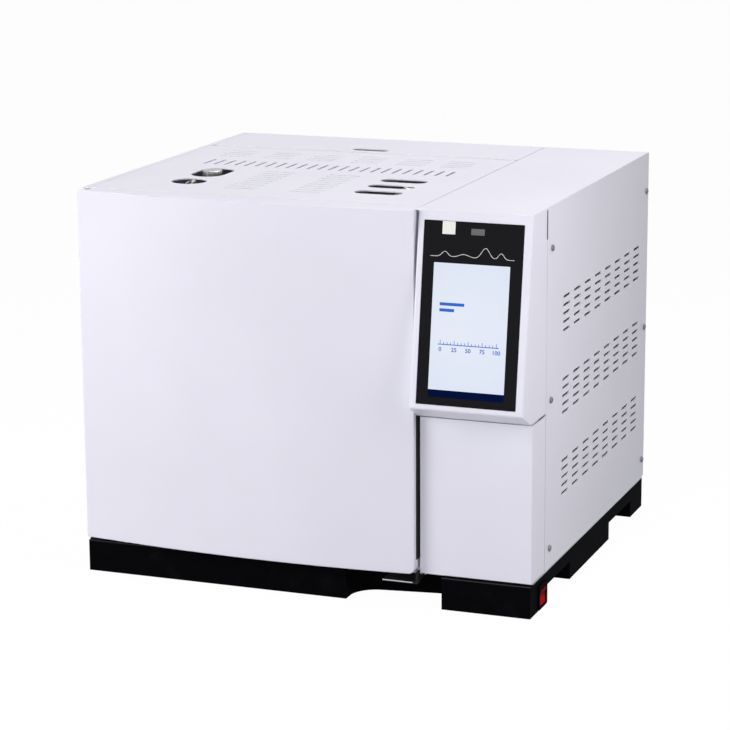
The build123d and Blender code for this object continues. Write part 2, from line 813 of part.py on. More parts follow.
def oven_insulation():
    grow = liner_t
    wool = block(oven_left - grow - insulation_side, oven_right + grow + insulation_side,
                 liner_front, insulation_back, pan_top, deck_ceiling)
    wool -= oven_opening(liner_front - 1, liner_rear + liner_t, grow)
    wool -= rod_y(oven_x, liner_rear, insulation_back + 1, oven_z, shaft_hole_r)
    half_w, half_h = duct_width / 2 + touch_gap, duct_height / 2 + touch_gap
    wool -= block(duct_x - half_w, duct_x + half_w, liner_rear, insulation_back + 1,
                  duct_z - half_h, duct_z + half_h)
    return wool - through_ports(2 * port_clearance, oven_roof, deck_z + 1)


def instrument_deck():
    deck = block(-skin, wall_left, liner_front, rear_skin - post_width - touch_gap, deck_z, deck_top)
    for x, front in ((-skin, liner_front + frame_return + touch_gap), (wall_left - sheet, liner_front)):
        deck += block(x, x + sheet, front, rear_skin - post_width - touch_gap,
                      deck_z - deck_flange, deck_z + sheet / 2)
    deck -= block(-skin - 1, -skin + sheet + touch_gap, liner_front - 1,
                  liner_front + frame_return + touch_gap, deck_z - 1, deck_top + 1)
    deck -= rod_z(*gas_line_foot, deck_z - 1, deck_top + 1, gas_line_r - 1)
    return deck - through_ports(port_clearance, deck_z - 1, deck_top + 1)


def fan_baffle():
    y0 = liner_rear - baffle_front_gap
    half_w, half_h = oven_width / 2 - baffle_border, oven_height / 2 - baffle_border
    plate = block(oven_x - half_w, oven_x + half_w, y0, y0 + sheet, oven_z - half_h, oven_z + half_h)
    guard = ring_y(oven_x, oven_z, y0, y0 + sheet, 22, 19)
    guard += block(oven_x - baffle_hole_r - 1, oven_x + baffle_hole_r + 1, y0, y0 + sheet,
                   oven_z - 1.5, oven_z + 1.5)
    guard += block(oven_x - 1.5, oven_x + 1.5, y0, y0 + sheet, oven_z - baffle_hole_r - 1,
                   oven_z + baffle_hole_r + 1)
    plate -= rod_y(oven_x, y0 - 1, y0 + sheet + 1, oven_z, baffle_hole_r)
    plate += guard
    for sx in (-1, 1):
        for sz in (-1, 1):
            plate += rod_y(oven_x + sx * baffle_post_x, y0, liner_rear, oven_z + sz * baffle_post_z,
                           standoff_r)
    return plate


def oven_heater():
    coil = None
    first = fan_rear - fan_width / 2 - heater_pitch * (heater_turns - 1) / 2
    for turn in range(heater_turns):
        ring = Pos(oven_x, first + turn * heater_pitch, oven_z) * Rot(90, 0, 0)
        ring = ring * Torus(heater_r, heater_wire_r)
        coil = ring if coil is None else coil + ring
    for angle in (0, 90, 180, 270):
        x = oven_x + heater_r * math.cos(math.radians(angle))
        z = oven_z + heater_r * math.sin(math.radians(angle))
        coil += rod_y(x, first - heater_wire_r - 1, liner_rear, z, heater_wire_r + 1.5)
    return coil


def oven_fan():
    wheel = rod_y(oven_x, fan_rear - 2, fan_rear, oven_z, fan_r)
    wheel += rod_y(oven_x, fan_rear - fan_width, fan_rear, oven_z, fan_hub_r)
    blade = block(fan_blade_inner_r, fan_r - 1, fan_rear - fan_width, fan_rear - 1,
                  -fan_blade_t / 2, fan_blade_t / 2)
    for index in range(fan_blades):
        wheel += Pos(oven_x, 0, oven_z) * Rot(0, index * 360 / fan_blades, 0) * blade
    return wheel - rod_y(oven_x, fan_rear - fan_width - 1, fan_rear + 1, oven_z, fan_shaft_r)


def motor_face():
    return insulation_back + motor_plate_t + motor_standoff


def oven_fan_shaft():
    return rod_y(oven_x, fan_rear - fan_width - 3, motor_face() + 8, oven_z, fan_shaft_r)


def oven_fan_motor():
    face = motor_face()
    half = motor_plate / 2
    plate_end = insulation_back + motor_plate_t
    motor = rod_y(oven_x, face, face + motor_length, oven_z, motor_r)
    motor = fillet(motor.edges().filter_by(GeomType.CIRCLE).sort_by(Axis.Y)[-1], 6)
    for index in range(16):
        turn = Rot(0, index * 22.5, 0)
        rib = block(motor_r - 1, motor_r + 2.5, face + 12, face + motor_length - 14, -1.2, 1.2)
        motor += Pos(oven_x, 0, oven_z) * turn * rib
    motor += block(oven_x - half, oven_x + half, insulation_back, plate_end,
                   oven_z - half, oven_z + half)
    for sx in (-1, 1):
        for sz in (-1, 1):
            motor += rod_y(oven_x + sx * 28, insulation_back + 1, face + 1, oven_z + sz * 28, 3.5)
    return motor - rod_y(oven_x, insulation_back - 1, face + 9, oven_z, fan_shaft_r + pivot_fit)


def column_hanger():
    peg_z = oven_z + column_inner_r - hanger_rod_r - touch_gap
    y0, y1 = column_y - 8, column_y + column_width + 8
    hanger = rod_y(oven_x, y0, y1, peg_z, hanger_rod_r)
    for y in (y0, y1):
        hanger += rod_z(oven_x, y, peg_z, oven_roof - 1, hanger_rod_r)
        hanger += Pos(oven_x, y, peg_z) * Sphere(hanger_rod_r)
    return hanger + block(oven_x - 14, oven_x + 14, y0 - 8, y1 + 8, oven_roof - 2, oven_roof)


def capillary_column():
    """Wound column on its wire cage, with its two ends led up to inlet and detector."""
    coil = ring_y(oven_x, oven_z, column_y, column_y + column_width, column_r, column_inner_r)
    groove = None
    for index in range(5):
        y = column_y + 4 + index * (column_width - 8) / 4
        ring = Pos(oven_x, y, oven_z) * Rot(90, 0, 0) * Torus(column_r + 0.2, 1.2)
        groove = ring if groove is None else groove + ring
    coil -= groove
    for x, y, side in ((inlet_x, inlet_y, -1), (fid_x, fid_y, 1)):
        start_x = oven_x + side * (column_r - 2)
        lead = tube(((start_x, column_y + column_width / 2, oven_z),
                     (start_x, column_y + column_width / 2, oven_z + 70),
                     (x, y, oven_z + 78), (x, y, nose_z)), column_tube_r, 12)
        coil += lead
    return coil


def temperature_probe():
    x = oven_right - 9
    z = oven_roof - 30
    probe = rod_y(x, liner_rear - probe_length, liner_rear - 1, z, probe_r)
    return probe + rod_y(x, liner_rear - 4, liner_rear, z, 3 * probe_r)


def exhaust_duct():
    y0, y1 = liner_rear + liner_t, case_rear
    half_w, half_h = duct_width / 2, duct_height / 2
    duct = block(duct_x - half_w, duct_x + half_w, y0, y1, duct_z - half_h, duct_z + half_h)
    duct += block(duct_x - half_w - duct_flange, duct_x + half_w + duct_flange, y1, y1 + sheet,
                  duct_z - half_h - duct_flange, duct_z + half_h + duct_flange)
    duct -= block(duct_x - half_w + duct_wall, duct_x + half_w - duct_wall, y0 - 1, y1 + sheet + 1,
                  duct_z - half_h + duct_wall, duct_z + half_h - duct_wall)
    return duct - rod_x(duct_x - half_w - 1, duct_x + half_w + 1, flap_y, duct_z,
                        flap_shaft_r + pivot_fit)


def vent_flap():
    half_w = duct_width / 2 - duct_wall - flap_gap
    half_h = duct_height / 2 - duct_wall - flap_gap
    flap = block(duct_x - half_w, duct_x + half_w, flap_y - flap_t / 2, flap_y + flap_t / 2,
                 duct_z - half_h, duct_z + half_h)
    return flap + rod_x(duct_x - duct_width / 2 - 3, duct_x + duct_width / 2 + 9, flap_y, duct_z,
                        flap_shaft_r)


def flap_motor():
    x0 = duct_x + duct_width / 2
    half = flap_motor_size / 2
    motor = block(x0, x0 + flap_motor_size, flap_y - half, flap_y + half, duct_z - half, duct_z + half)
    motor = fillet(motor.edges().filter_by(Axis.X), 4)
    motor += rod_x(x0 + flap_motor_size, x0 + flap_motor_size + 4, flap_y, duct_z, 7)
    return motor - rod_x(x0 - 1, x0 + 10, flap_y, duct_z, flap_shaft_r + pivot_fit)


# ------------------------------------------------------------------ oven door
def door_face(inset):
    """Plan of the door between its ends; the front is one arc through its crown."""
    left, right = door_left + inset, door_right - inset
    crown = door_crown + inset
    drop_left = door_left_front - door_crown
    bow = drop_left / (door_left - door_crown_x) ** 2
    left_front = crown + bow * (left - door_crown_x) ** 2
    right_front = crown + (door_right_front - door_crown) * (
        (right - door_crown_x) / (door_right - door_crown_x)) ** 2
    with BuildSketch() as sketch:
        with BuildLine():
            Polyline((right, right_front), (right, door_rear), (left, door_rear), (left, left_front))
            ThreePointArc((left, left_front), (door_crown_x, crown), (right, right_front))
        make_face()
    return sketch.sketch


def door_shell():
    height = door_top - door_bottom
    shell = Pos(0, 0, door_bottom) * extrude(door_face(0), height)
    rear_left = shell.edges().filter_by(Axis.Z).sort_by(Axis.Y)[-2:].sort_by(Axis.X)[0]
    shell = fillet(rear_left, door_rear_r)
    low_right = shell.edges().filter_by(Axis.Y).group_by(Axis.Z)[0].sort_by(Axis.X)[-1]
    shell = fillet(low_right, door_corner_r)
    front_edges = [edge for edge in shell.edges() if edge.center().Y < door_rear - 3
                   and edge.geom_type != GeomType.LINE]
    shell = fillet(front_edges, door_edge_r)
    cavity = Pos(0, 0, door_bottom + door_wall) * extrude(door_face(door_wall), height - 2 * door_wall)
    cavity += block(door_left + door_rear_r + door_wall, door_right - door_wall, door_rear - 6,
                    door_rear + 1, door_bottom + door_wall, door_fill_top)
    cavity -= block(door_left, door_left + door_rear_r + door_wall,
                    door_rear - door_rear_r - door_wall, door_rear, door_bottom, door_top)
    seat_right = hinge_x + hinge_arm_half + 2 * touch_gap
    cavity -= block(door_left, seat_right + door_wall, door_crown, door_rear,
                    door_fill_top, door_top)
    shell -= cavity
    shell -= block(door_left - 1, seat_right, door_left_front + door_wall + touch_gap,
                   door_rear + 1, hinge_seat_z, door_top + 1)
    return shell - rod_z(hinge_x, hinge_y, 0, case_height, hinge_pin_r + pivot_fit)


def plug_box(inset, y0, y1):
    grow = -plug_clearance - inset
    return oven_opening(y0, y1, grow)


def door_inner_panel():
    left = door_left + door_rear_r + door_wall + touch_gap
    right = door_right - door_wall - touch_gap
    low, high = door_bottom + door_wall + touch_gap, door_fill_top - touch_gap
    y0 = door_rear - sheet
    panel = block(left, right, y0, door_rear, low, high)
    panel += plug_box(0, y0, door_rear + plug_depth)
    return panel - plug_box(plug_t, y0 - 1, door_rear + plug_depth - plug_t)


def door_insulation():
    left = hinge_x + hinge_pin_r + 6
    margin = door_wall + touch_gap
    slab = Pos(0, 0, door_bottom + margin) * extrude(
        door_face(margin), door_fill_top - touch_gap - door_bottom - margin)
    slab -= block(door_left - 1, left, door_crown - 1, door_rear + 1, 0, case_height)
    slab -= block(door_left - 1, door_right + 1, door_rear - sheet - touch_gap, door_rear + 1,
                  0, case_height)
    return slab + plug_box(plug_t + touch_gap, door_rear - sheet - 1,
                           door_rear + plug_depth - plug_t - touch_gap)


def door_gasket():
    y1 = frame_y - touch_gap
    outer = oven_opening(door_rear, y1, gasket_border + gasket_width)
    return outer - oven_opening(door_rear - 1, y1 + 1, gasket_border)


def upper_hinge_bracket():
    z0 = hinge_seat_z + touch_gap
    z1 = z0 + hinge_plate_t
    leg_front = liner_front + frame_return + touch_gap
    plate = block(-skin, -skin + hinge_plate_w, frame_y, leg_front + 12, z0, z1)
    plate += block(-skin, -skin + hinge_plate_t, leg_front, leg_front + 12, z1 - hinge_leg, z1)
    plate += block(hinge_x - hinge_arm_half, hinge_x + hinge_arm_half, hinge_y, frame_y + 1, z0, z1)
    plate += rod_z(hinge_x, hinge_y, z0, z1, hinge_arm_half)
    return plate + rod_z(hinge_x, hinge_y, hinge_seat_z - hinge_pin_depth, z0 + 0.5, hinge_pin_r)


def lower_hinge_bracket():
    z0, z1 = pan_top, pan_top + hinge_plate_t
    plate = block(hinge_x - hinge_washer_r, -skin + hinge_plate_w, hinge_y - hinge_washer_r,
                  frame_y - touch_gap, z0, z1)
    plate += rod_z(hinge_x, hinge_y, z1 - 0.5, door_bottom - touch_gap, hinge_washer_r)
    return plate + rod_z(hinge_x, hinge_y, z1, door_bottom + hinge_pin_depth, hinge_pin_r)


def magnetic_catch():
    x1 = wall_left - 6
    return block(x1 - magnet_width, x1, door_rear + touch_gap, frame_y, magnet_z,
                 magnet_z + magnet_height)


# ------------------------------------------------------------------ door release lever
def door_lever():
    right = door_right
    plate = block(lever_left, right, lever_lip_y, lever_pivot_y + lever_ear_r, lever_z,
                  lever_z + lever_t)
    gap_mid = (door_right + tower_left) / 2
    tab = block(right - 3, gap_mid + lever_t / 2, lever_lip_y, lever_lip_y + lever_tab_depth,
                lever_z, lever_z + lever_t)
    tab += block(gap_mid - lever_t / 2, gap_mid + lever_t / 2, lever_lip_y,
                 lever_lip_y + lever_tab_depth, lever_z, lever_tab_top)
    lever = plate + tab
    for x in (lever_left, right - lever_ear_t):
        lever += rod_x(x, x + lever_ear_t, lever_pivot_y, lever_pivot_z, lever_ear_r)
        lever += block(x, x + lever_ear_t, lever_pivot_y - lever_ear_r, lever_pivot_y + lever_ear_r,
                       lever_z, lever_pivot_z)
    return lever - rod_x(lever_left - 1, right + 1, lever_pivot_y, lever_pivot_z,
                         lever_pin_r + pivot_fit)


def lever_bracket():
    x0 = lever_left + lever_ear_t + touch_gap
    x1 = door_right - lever_ear_t - touch_gap
    half = lever_ear_r + 3
    bracket = block(x0, x1, lever_pivot_y - half, lever_pivot_y + half, base_height - bracket_t,
                    base_height)
    for x in (x0, x1 - bracket_t):
        bracket += block(x, x + bracket_t, lever_pivot_y - lever_ear_r, lever_pivot_y + lever_ear_r,
                         lever_z + lever_t + lever_clearance, base_height)
    return bracket + rod_x(lever_left - 2, door_right + 2, lever_pivot_y, lever_pivot_z, lever_pin_r)


# ------------------------------------------------------------------ lid and its hinge
def lid_cutters():
    z0, z1 = roof - 1, case_height + 1
    cutters = [rod_z(*small_port, z0, z1, small_port_r),
               slot_z(*large_port, *large_port_size, z0, z1)]
    cutters += [slot_z(slot_port_x, y, *slot_port_size, z0, z1) for y in slot_ports_y]
    cutters += [slot_z(rib_slot_first_x + index * rib_slot_pitch, rib_slot_y, *rib_slot_size, z0, z1)
                for index in range(rib_slots)]
    for x in louver_row_x:
        cutters += [slot_z(x, louver_row_y + index * louver_pitch, *louver_size, z0, z1)
                    for index in range(louver_row_count)]
    for x in louver_panel_x:
        cutters += [slot_z(x, louver_panel_y + index * louver_pitch, *louver_panel_size, z0, z1)
                    for index in range(louver_panel_count)]
    return cutters


def top_lid():
    lid = block(lid_left, lid_seam_x, lid_front, lid_rear, roof, case_height)
    top_front = lid.edges().filter_by(Axis.X).sort_by(Axis.Y)[0:2].sort_by(Axis.Z)[-1]
    lid = fillet(top_front, sheet * 0.5)
    lid += block(lid_left + lid_lip_notch, lid_seam_x, lid_front, lid_front + sheet, roof - lid_lip,
                 roof + sheet / 2)
    side_rear = lid_rear - leaf_width - 4
    for x in (lid_left, lid_seam_x - sheet):
        front = lid_front + (frame_return + 16 if x < 0 else 0)
        lid += block(x, x + sheet, front, side_rear, roof - lid_side_lip, roof + sheet / 2)
    return lid - lid_cutters()


def knuckle_spans():
    """Start and end of each hinge knuckle along X, with its leaf: 0 fixed, 1 moving."""
    first, last = lid_left + 6, lid_seam_x - 6
    count = int((last - first) // knuckle_length)
    pitch = (last - first) / count
    return [(first + index * pitch, first + (index + 1) * pitch - knuckle_gap, index % 2)
            for index in range(count)]


def hinge_leaf(which, y0, y1, bore_r):
    first, last = lid_left + 6, lid_seam_x - 6 - knuckle_gap
    leaf = block(first, last, y0, y1, roof - leaf_t, roof)
    for x0, x1, owner in knuckle_spans():
        if owner == which:
            near, far = sorted((knuckle_y, y0 if which == 0 else y1))
            leaf += rod_x(x0, x1, knuckle_y, knuckle_z, knuckle_r)
            leaf += block(x0, x1, near, far, roof - leaf_t, roof) - rod_x(
                x0, x1, knuckle_y, knuckle_z, knuckle_pin_r)
    if bore_r:
        leaf -= rod_x(first - 1, last + 1, knuckle_y, knuckle_z, bore_r)
    return leaf


def lid_hinge_leaf():
    return hinge_leaf(1, lid_rear - leaf_width, lid_rear, knuckle_pin_r + pivot_fit)


def cover_hinge_leaf():
    leaf = hinge_leaf(0, cover_front, cover_front + leaf_width, 0)
    return leaf + rod_x(lid_left + 6, lid_seam_x - 6 - knuckle_gap, knuckle_y, knuckle_z,
                        knuckle_pin_r)


# ------------------------------------------------------------------ inlet and detectors
def injector_body():
    body = rod_z(inlet_x, inlet_y, nose_z, inlet_shoulder_z, inlet_r)
    body += rod_z(inlet_x, inlet_y, inlet_shoulder_z, inlet_neck_z, inlet_neck_r)
    body += rod_z(inlet_x, inlet_y, deck_top, deck_top + inlet_flange_t, inlet_flange_r)
    return body - rod_z(inlet_x, inlet_y, nose_z + 10, inlet_neck_z + 1, 2 * needle_hole_r)


def septum_nut():
    z0 = inlet_shoulder_z + touch_gap
    nut = rod_z(inlet_x, inlet_y, z0, nut_top_z, nut_r)
    nut = chamfer(nut.edges().group_by(Axis.Z)[-1], 1.2)
    flutes = [rod_z(inlet_x + nut_r * math.cos(math.tau * index / nut_flutes),
                    inlet_y + nut_r * math.sin(math.tau * index / nut_flutes),
                    z0 - 1, nut_top_z + 1, nut_flute_r) for index in range(nut_flutes)]
    nut -= flutes
    nut -= rod_z(inlet_x, inlet_y, z0 - 1, inlet_neck_z + touch_gap, inlet_neck_r + pivot_fit)
    return nut - rod_z(inlet_x, inlet_y, z0, nut_top_z + 1, needle_hole_r)


def injector_heater_block():
    half = block_size / 2
    z0 = deck_top + inlet_flange_t
    heater = block(inlet_x - half, inlet_x + half, inlet_y - half, inlet_y + half, z0, block_top_z)
    heater = chamfer(heater.edges().filter_by(Axis.Z), 3)
    return heater - rod_z(inlet_x, inlet_y, z0 - 1, block_top_z + 1, inlet_r + 0.15)


def fid_body():
    fid = rod_z(fid_x, fid_y, nose_z, deck_top + 2, inlet_r)
    fid += rod_z(fid_x, fid_y, deck_top, fid_base_z, fid_base_r)
    tower = rod_z(fid_x, fid_y, fid_base_z, fid_top_z, fid_r)
    fid += chamfer(tower.edges().group_by(Axis.Z)[-1], 1.5)
    fid += rod_x(fid_x + fid_r - 2, fid_x + fid_r + 26, fid_y, fid_base_z + 14, 5)
    return fid - rod_z(fid_x, fid_y, fid_top_z - 30, fid_top_z + 1, 4)


def tcd_block():
    width, depth, height = tcd_size
    tcd = block(tcd_x - width / 2, tcd_x + width / 2, tcd_y - depth / 2, tcd_y + depth / 2,
                deck_top, deck_top + height)
    tcd = fillet(tcd.edges().filter_by(Axis.Z), 4)
    tcd += rod_z(tcd_x, tcd_y, nose_z, deck_top + 1, inlet_r)
    for dx in (-14, 14):
        tcd += rod_z(tcd_x + dx, tcd_y, deck_top + height - 1, deck_top + height + 12, 2)
    return tcd


def carrier_gas_line():
    line_x, line_y = gas_line_foot
    end_x, end_y = gas_line_end
    return tube(((line_x, line_y, deck_top), (line_x, line_y, gas_line_top),
                 (end_x, end_y, gas_line_top), (end_x, end_y, block_top_z)),
                gas_line_r, gas_line_bend)


# ------------------------------------------------------------------ tower interior and rear
def main_board():
    x0 = tower_left + main_board_gap
    (y0, y1), (z0, z1) = main_board_y, main_board_z
    board = block(x0, x0 + board_t, y0, y1, z0, z1)
    for y in (y0 + 12, (y0 + y1) / 2, y1 - 12):
        for z in (z0 + 12, z1 - 12):
            board += rod_x(tower_left, x0 + board_t, y, z, standoff_r)
    chips = ((0.2, 0.3, 30, 30, 4), (0.5, 0.7, 44, 24, 6), (0.75, 0.35, 20, 36, 12),
             (0.3, 0.75, 24, 16, 3), (0.85, 0.8, 18, 40, 10))
    for fy, fz, size_y, size_z, tall in chips:
        y, z = y0 + fy * (y1 - y0), z0 + fz * (z1 - z0)
        board += block(x0 + board_t / 2, x0 + board_t + tall, y - size_y / 2, y + size_y / 2,
                       z - size_z / 2, z + size_z / 2)
    return board


def power_supply():
    width, depth, height = supply_size
    x1 = skin - sheet - 6
    supply = block(x1 - width, x1, supply_y, supply_y + depth, pan_top, pan_top + height)
    vents = []
    for index in range(10):
        y = supply_y + 20 + index * 13
        vents.append(block(x1 - width + 12, x1 - 12, y, y + 4, pan_top + height - 2,
                           pan_top + height + 1))
    return supply - vents


def gas_control_module():
    width, depth, height = manifold_size
    x0 = tower_left + 26
    module = block(x0, x0 + width, manifold_y, manifold_y + depth, pan_top, pan_top + height)
    for index in range(valves):
        y = manifold_y + depth * (index + 0.5) / valves
        module += rod_z(x0 + width / 2, y, pan_top + height - 1, pan_top + height + valve_height,
                        valve_r)
        module += rod_z(x0 + 14, y, pan_top + height - 1, pan_top + height + 10, 4)
    return module


def gas_inlet_places():
    return [gas_inlet_x + index * gas_inlet_pitch for index in range(gas_inlets)]


def gas_connectors():
    """Bulkhead tube fittings with hexagonal nuts on both faces of the rear panel."""
    fittings = []
    for x in gas_inlet_places():
        spot = Pos(x, case_rear, gas_inlet_z) * Rot(-90, 0, 0)
        hexagon = extrude(RegularPolygon(gas_fitting_r + 1, 6), 6)
        body = hexagon + Cylinder(gas_fitting_r - 2.6, gas_fitting_length,
                                  align=(Align.CENTER, Align.CENTER, Align.MIN))
        tail = Cylinder(gas_fitting_r - 2.6, 16 + sheet,
                        align=(Align.CENTER, Align.CENTER, Align.MAX))
        inner_nut = Pos(0, 0, -sheet - 4) * extrude(RegularPolygon(gas_fitting_r + 1, 6), 4)
        bore = Cylinder(gas_tube_r, 80)
        fittings.append(spot * (body + tail + inner_nut - bore))
    return fittings


def power_inlet():
    """Mains inlet with three blades in its recess."""
    width, height = power_inlet_size
    socket_w, socket_h = power_socket_size
    inlet = block(power_inlet_x - width / 2, power_inlet_x + width / 2, case_rear,
                  case_rear + 2, power_inlet_z - height / 2, power_inlet_z + height / 2)
    inlet += block(power_inlet_x - width / 2 + 2.3, power_inlet_x + width / 2 - 2.3,
                   case_rear - power_socket_depth - 4, case_rear + 1,
                   power_inlet_z - height / 2 + 2.3, power_inlet_z + height / 2 - 2.3)
    inlet -= block(power_inlet_x - socket_w / 2, power_inlet_x + socket_w / 2,
                   case_rear - power_socket_depth, case_rear + 3,
                   power_inlet_z - socket_h / 2, power_inlet_z + socket_h / 2)
    for dx, dz in ((-7, -2), (7, -2), (0, 3)):
        x, z = power_inlet_x + dx, power_inlet_z + dz
        inlet += block(x - 1, x + 1, case_rear - power_socket_depth - 1, case_rear - 2, z - 2, z + 2)
    return inlet


def port_places():
    """Centre, width and height of each signal socket in the rear panel."""
    return ((ports_x, ports_z, 31.0, 12.5), (ports_x - 16, ports_z + 26, 13.0, 12.0),
            (ports_x + 14, ports_z + 26, 16.5, 14.0))


def signal_ports():
    sockets = []
    for x, z, width, height in port_places():
        body = block(x - width / 2 + touch_gap, x + width / 2 - touch_gap, case_rear - 14,
                     case_rear + 1.2, z - height / 2 + touch_gap, z + height / 2 - touch_gap)
        body -= block(x - width / 2 + 2, x + width / 2 - 2, case_rear - 8, case_rear + 2,
                      z - height / 2 + 2, z + height / 2 - 2)
        sockets.append(body)
    return sockets


def cooling_fan_frame():
    half = fan_frame / 2
    y0 = rear_skin - fan_frame_t
    frame = block(fan_frame_x - half, fan_frame_x + half, y0, rear_skin, fan_frame_z - half,
                  fan_frame_z + half)
    frame = fillet(frame.edges().filter_by(Axis.Y), 5)
    frame -= rod_y(fan_frame_x, y0 - 1, rear_skin + 1, fan_frame_z, rotor_r + 2)
    spider = rod_y(fan_frame_x, y0, y0 + 3, fan_frame_z, rotor_hub_r)
    arm = block(0, rotor_r + 3, y0, y0 + 3, -2, 2)
    for angle in (45, 135, 225, 315):
        spider += Pos(fan_frame_x, 0, fan_frame_z) * Rot(0, angle, 0) * arm
    frame += spider
    return frame + rod_y(fan_frame_x, y0 + 2, y0 + 14, fan_frame_z, rotor_pin_r)


def cooling_fan_rotor():
    y0 = rear_skin - fan_frame_t + 3 + touch_gap
    y1 = rear_skin - 2
    rotor = rod_y(fan_frame_x, y0, y1, fan_frame_z, rotor_hub_r)
    blade = Pos(0, (y0 + y1) / 2, 0) * Rot(35, 0, 0) * Box(
        rotor_r - rotor_hub_r + 3, 1.6, 22, align=(Align.MIN, Align.CENTER, Align.CENTER))
    blade = Pos(rotor_hub_r - 3, 0, 0) * blade
    limit = rod_y(0, y0, y1, 0, rotor_r)
    for index in range(rotor_blades):
        turn = Pos(fan_frame_x, 0, fan_frame_z) * Rot(0, index * 360 / rotor_blades, 0)
        rotor += turn * (blade & limit)
    return rotor - rod_y(fan_frame_x, y0 - 1, y0 + 12, fan_frame_z, rotor_pin_r + pivot_fit)


# ------------------------------------------------------------------ export
PIECES = (base_plinth, rubber_feet, floor_pan, rear_panel, left_side_panel, right_cover,
          rear_top_cover, tower_front_panel, display_hood, control_glass, display_module,
          control_board, divider_wall, instrument_deck, oven_front_frame, case_screws,
          rear_left_post, rear_right_post, front_right_post, oven_liner, oven_insulation,
          fan_baffle, oven_heater, oven_fan, oven_fan_shaft, oven_fan_motor, column_hanger,
          capillary_column, temperature_probe, exhaust_duct, vent_flap, flap_motor, door_shell,
          door_inner_panel, door_insulation, door_gasket, upper_hinge_bracket,
          lower_hinge_bracket, magnetic_catch, door_lever, lever_bracket, top_lid,
          lid_hinge_leaf, cover_hinge_leaf, injector_body, septum_nut, injector_heater_block,
          fid_body, tcd_block, carrier_gas_line, main_board, power_supply, gas_control_module,
          gas_connectors, power_inlet, signal_ports, rocker_bezel, power_rocker,
          cooling_fan_frame, cooling_fan_rotor)


def main():
    os.makedirs("parts", exist_ok=True)
    made = {}
    for piece in PIECES:
        shape = piece()
        pieces = shape if isinstance(shape, list) else [shape]
        made[piece.__name__] = [solid for item in pieces for solid in item.solids()]
    boxes = [solid.bounding_box() for solids in made.values() for solid in solids]
    depth_shift = -(min(box.min.Y for box in boxes) + max(box.max.Y for box in boxes)) / 2
    for name, solids in made.items():
        moved = [Pos(0, depth_shift, 0) * solid for solid in solids]
        export_step(moved[0] if len(moved) == 1 else Compound(children=moved), f"parts/{name}.step")
    print(f"origin moved by {depth_shift:.3f} mm along Y")


main()
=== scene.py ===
import logging
import math
from dataclasses import dataclass
from enum import Enum
from typing import Callable, Dict, List, Optional, Sequence, Tuple, Union

import bmesh
import bpy
from mathutils import Matrix, Vector


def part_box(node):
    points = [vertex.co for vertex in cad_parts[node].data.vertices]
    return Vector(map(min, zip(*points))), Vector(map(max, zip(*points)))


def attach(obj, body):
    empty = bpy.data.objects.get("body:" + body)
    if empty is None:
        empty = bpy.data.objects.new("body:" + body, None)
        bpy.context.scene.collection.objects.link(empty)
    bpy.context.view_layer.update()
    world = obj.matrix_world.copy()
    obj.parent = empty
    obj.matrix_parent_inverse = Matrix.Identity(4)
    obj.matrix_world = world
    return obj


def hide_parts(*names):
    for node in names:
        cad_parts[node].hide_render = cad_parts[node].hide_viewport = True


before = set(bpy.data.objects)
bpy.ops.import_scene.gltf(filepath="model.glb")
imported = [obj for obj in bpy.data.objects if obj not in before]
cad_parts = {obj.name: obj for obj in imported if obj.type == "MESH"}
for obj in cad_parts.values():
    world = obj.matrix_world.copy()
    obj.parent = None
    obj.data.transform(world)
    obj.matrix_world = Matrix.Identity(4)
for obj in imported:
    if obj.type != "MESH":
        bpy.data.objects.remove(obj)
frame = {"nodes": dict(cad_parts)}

log = logging.getLogger("gas_chromatograph")

MM = 0.001
ORIGIN_Y = 250.243
Triple = Tuple[float, float, float]
Pair = Tuple[float, float]


# ---------------------------------------------------------------- named options
class Slot(Enum):
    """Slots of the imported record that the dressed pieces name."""

    CASE = "case_white"
    RUBBER = "foot_rubber"
    STEEL = "oven_steel"
    GLASS = "panel_glass"
    MODULE = "module_black"
    ALUMINIUM = "block_aluminium"
    BRASS = "fitting_brass"
    ROCKER = "rocker_red"


class Body(Enum):
    """Bodies that the dressed pieces ride on."""

    CASE = "case"
    DOOR = "oven_door"
    ROCKER = "power_rocker"


class Axis(Enum):
    """Direction that a brushed or spun finish runs in."""

    X = 0
    Y = 1
    Z = 2


# ---------------------------------------------------------------- shader tools
def tint(red: float, green: float, blue: float) -> Tuple[float, float, float, float]:
    """Linear colour of a screen colour given from 0 to 255.

    Args:
        red: Red, 0 to 255.
        green: Green, 0 to 255.
        blue: Blue, 0 to 255.

    Returns:
        The colour as four linear numbers.
    """
    def linear(value: float) -> float:
        """Linear value of one channel."""
        share = value / 255
        return share / 12.92 if share <= 0.04045 else ((share + 0.055) / 1.055) ** 2.4

    return linear(red), linear(green), linear(blue), 1.0


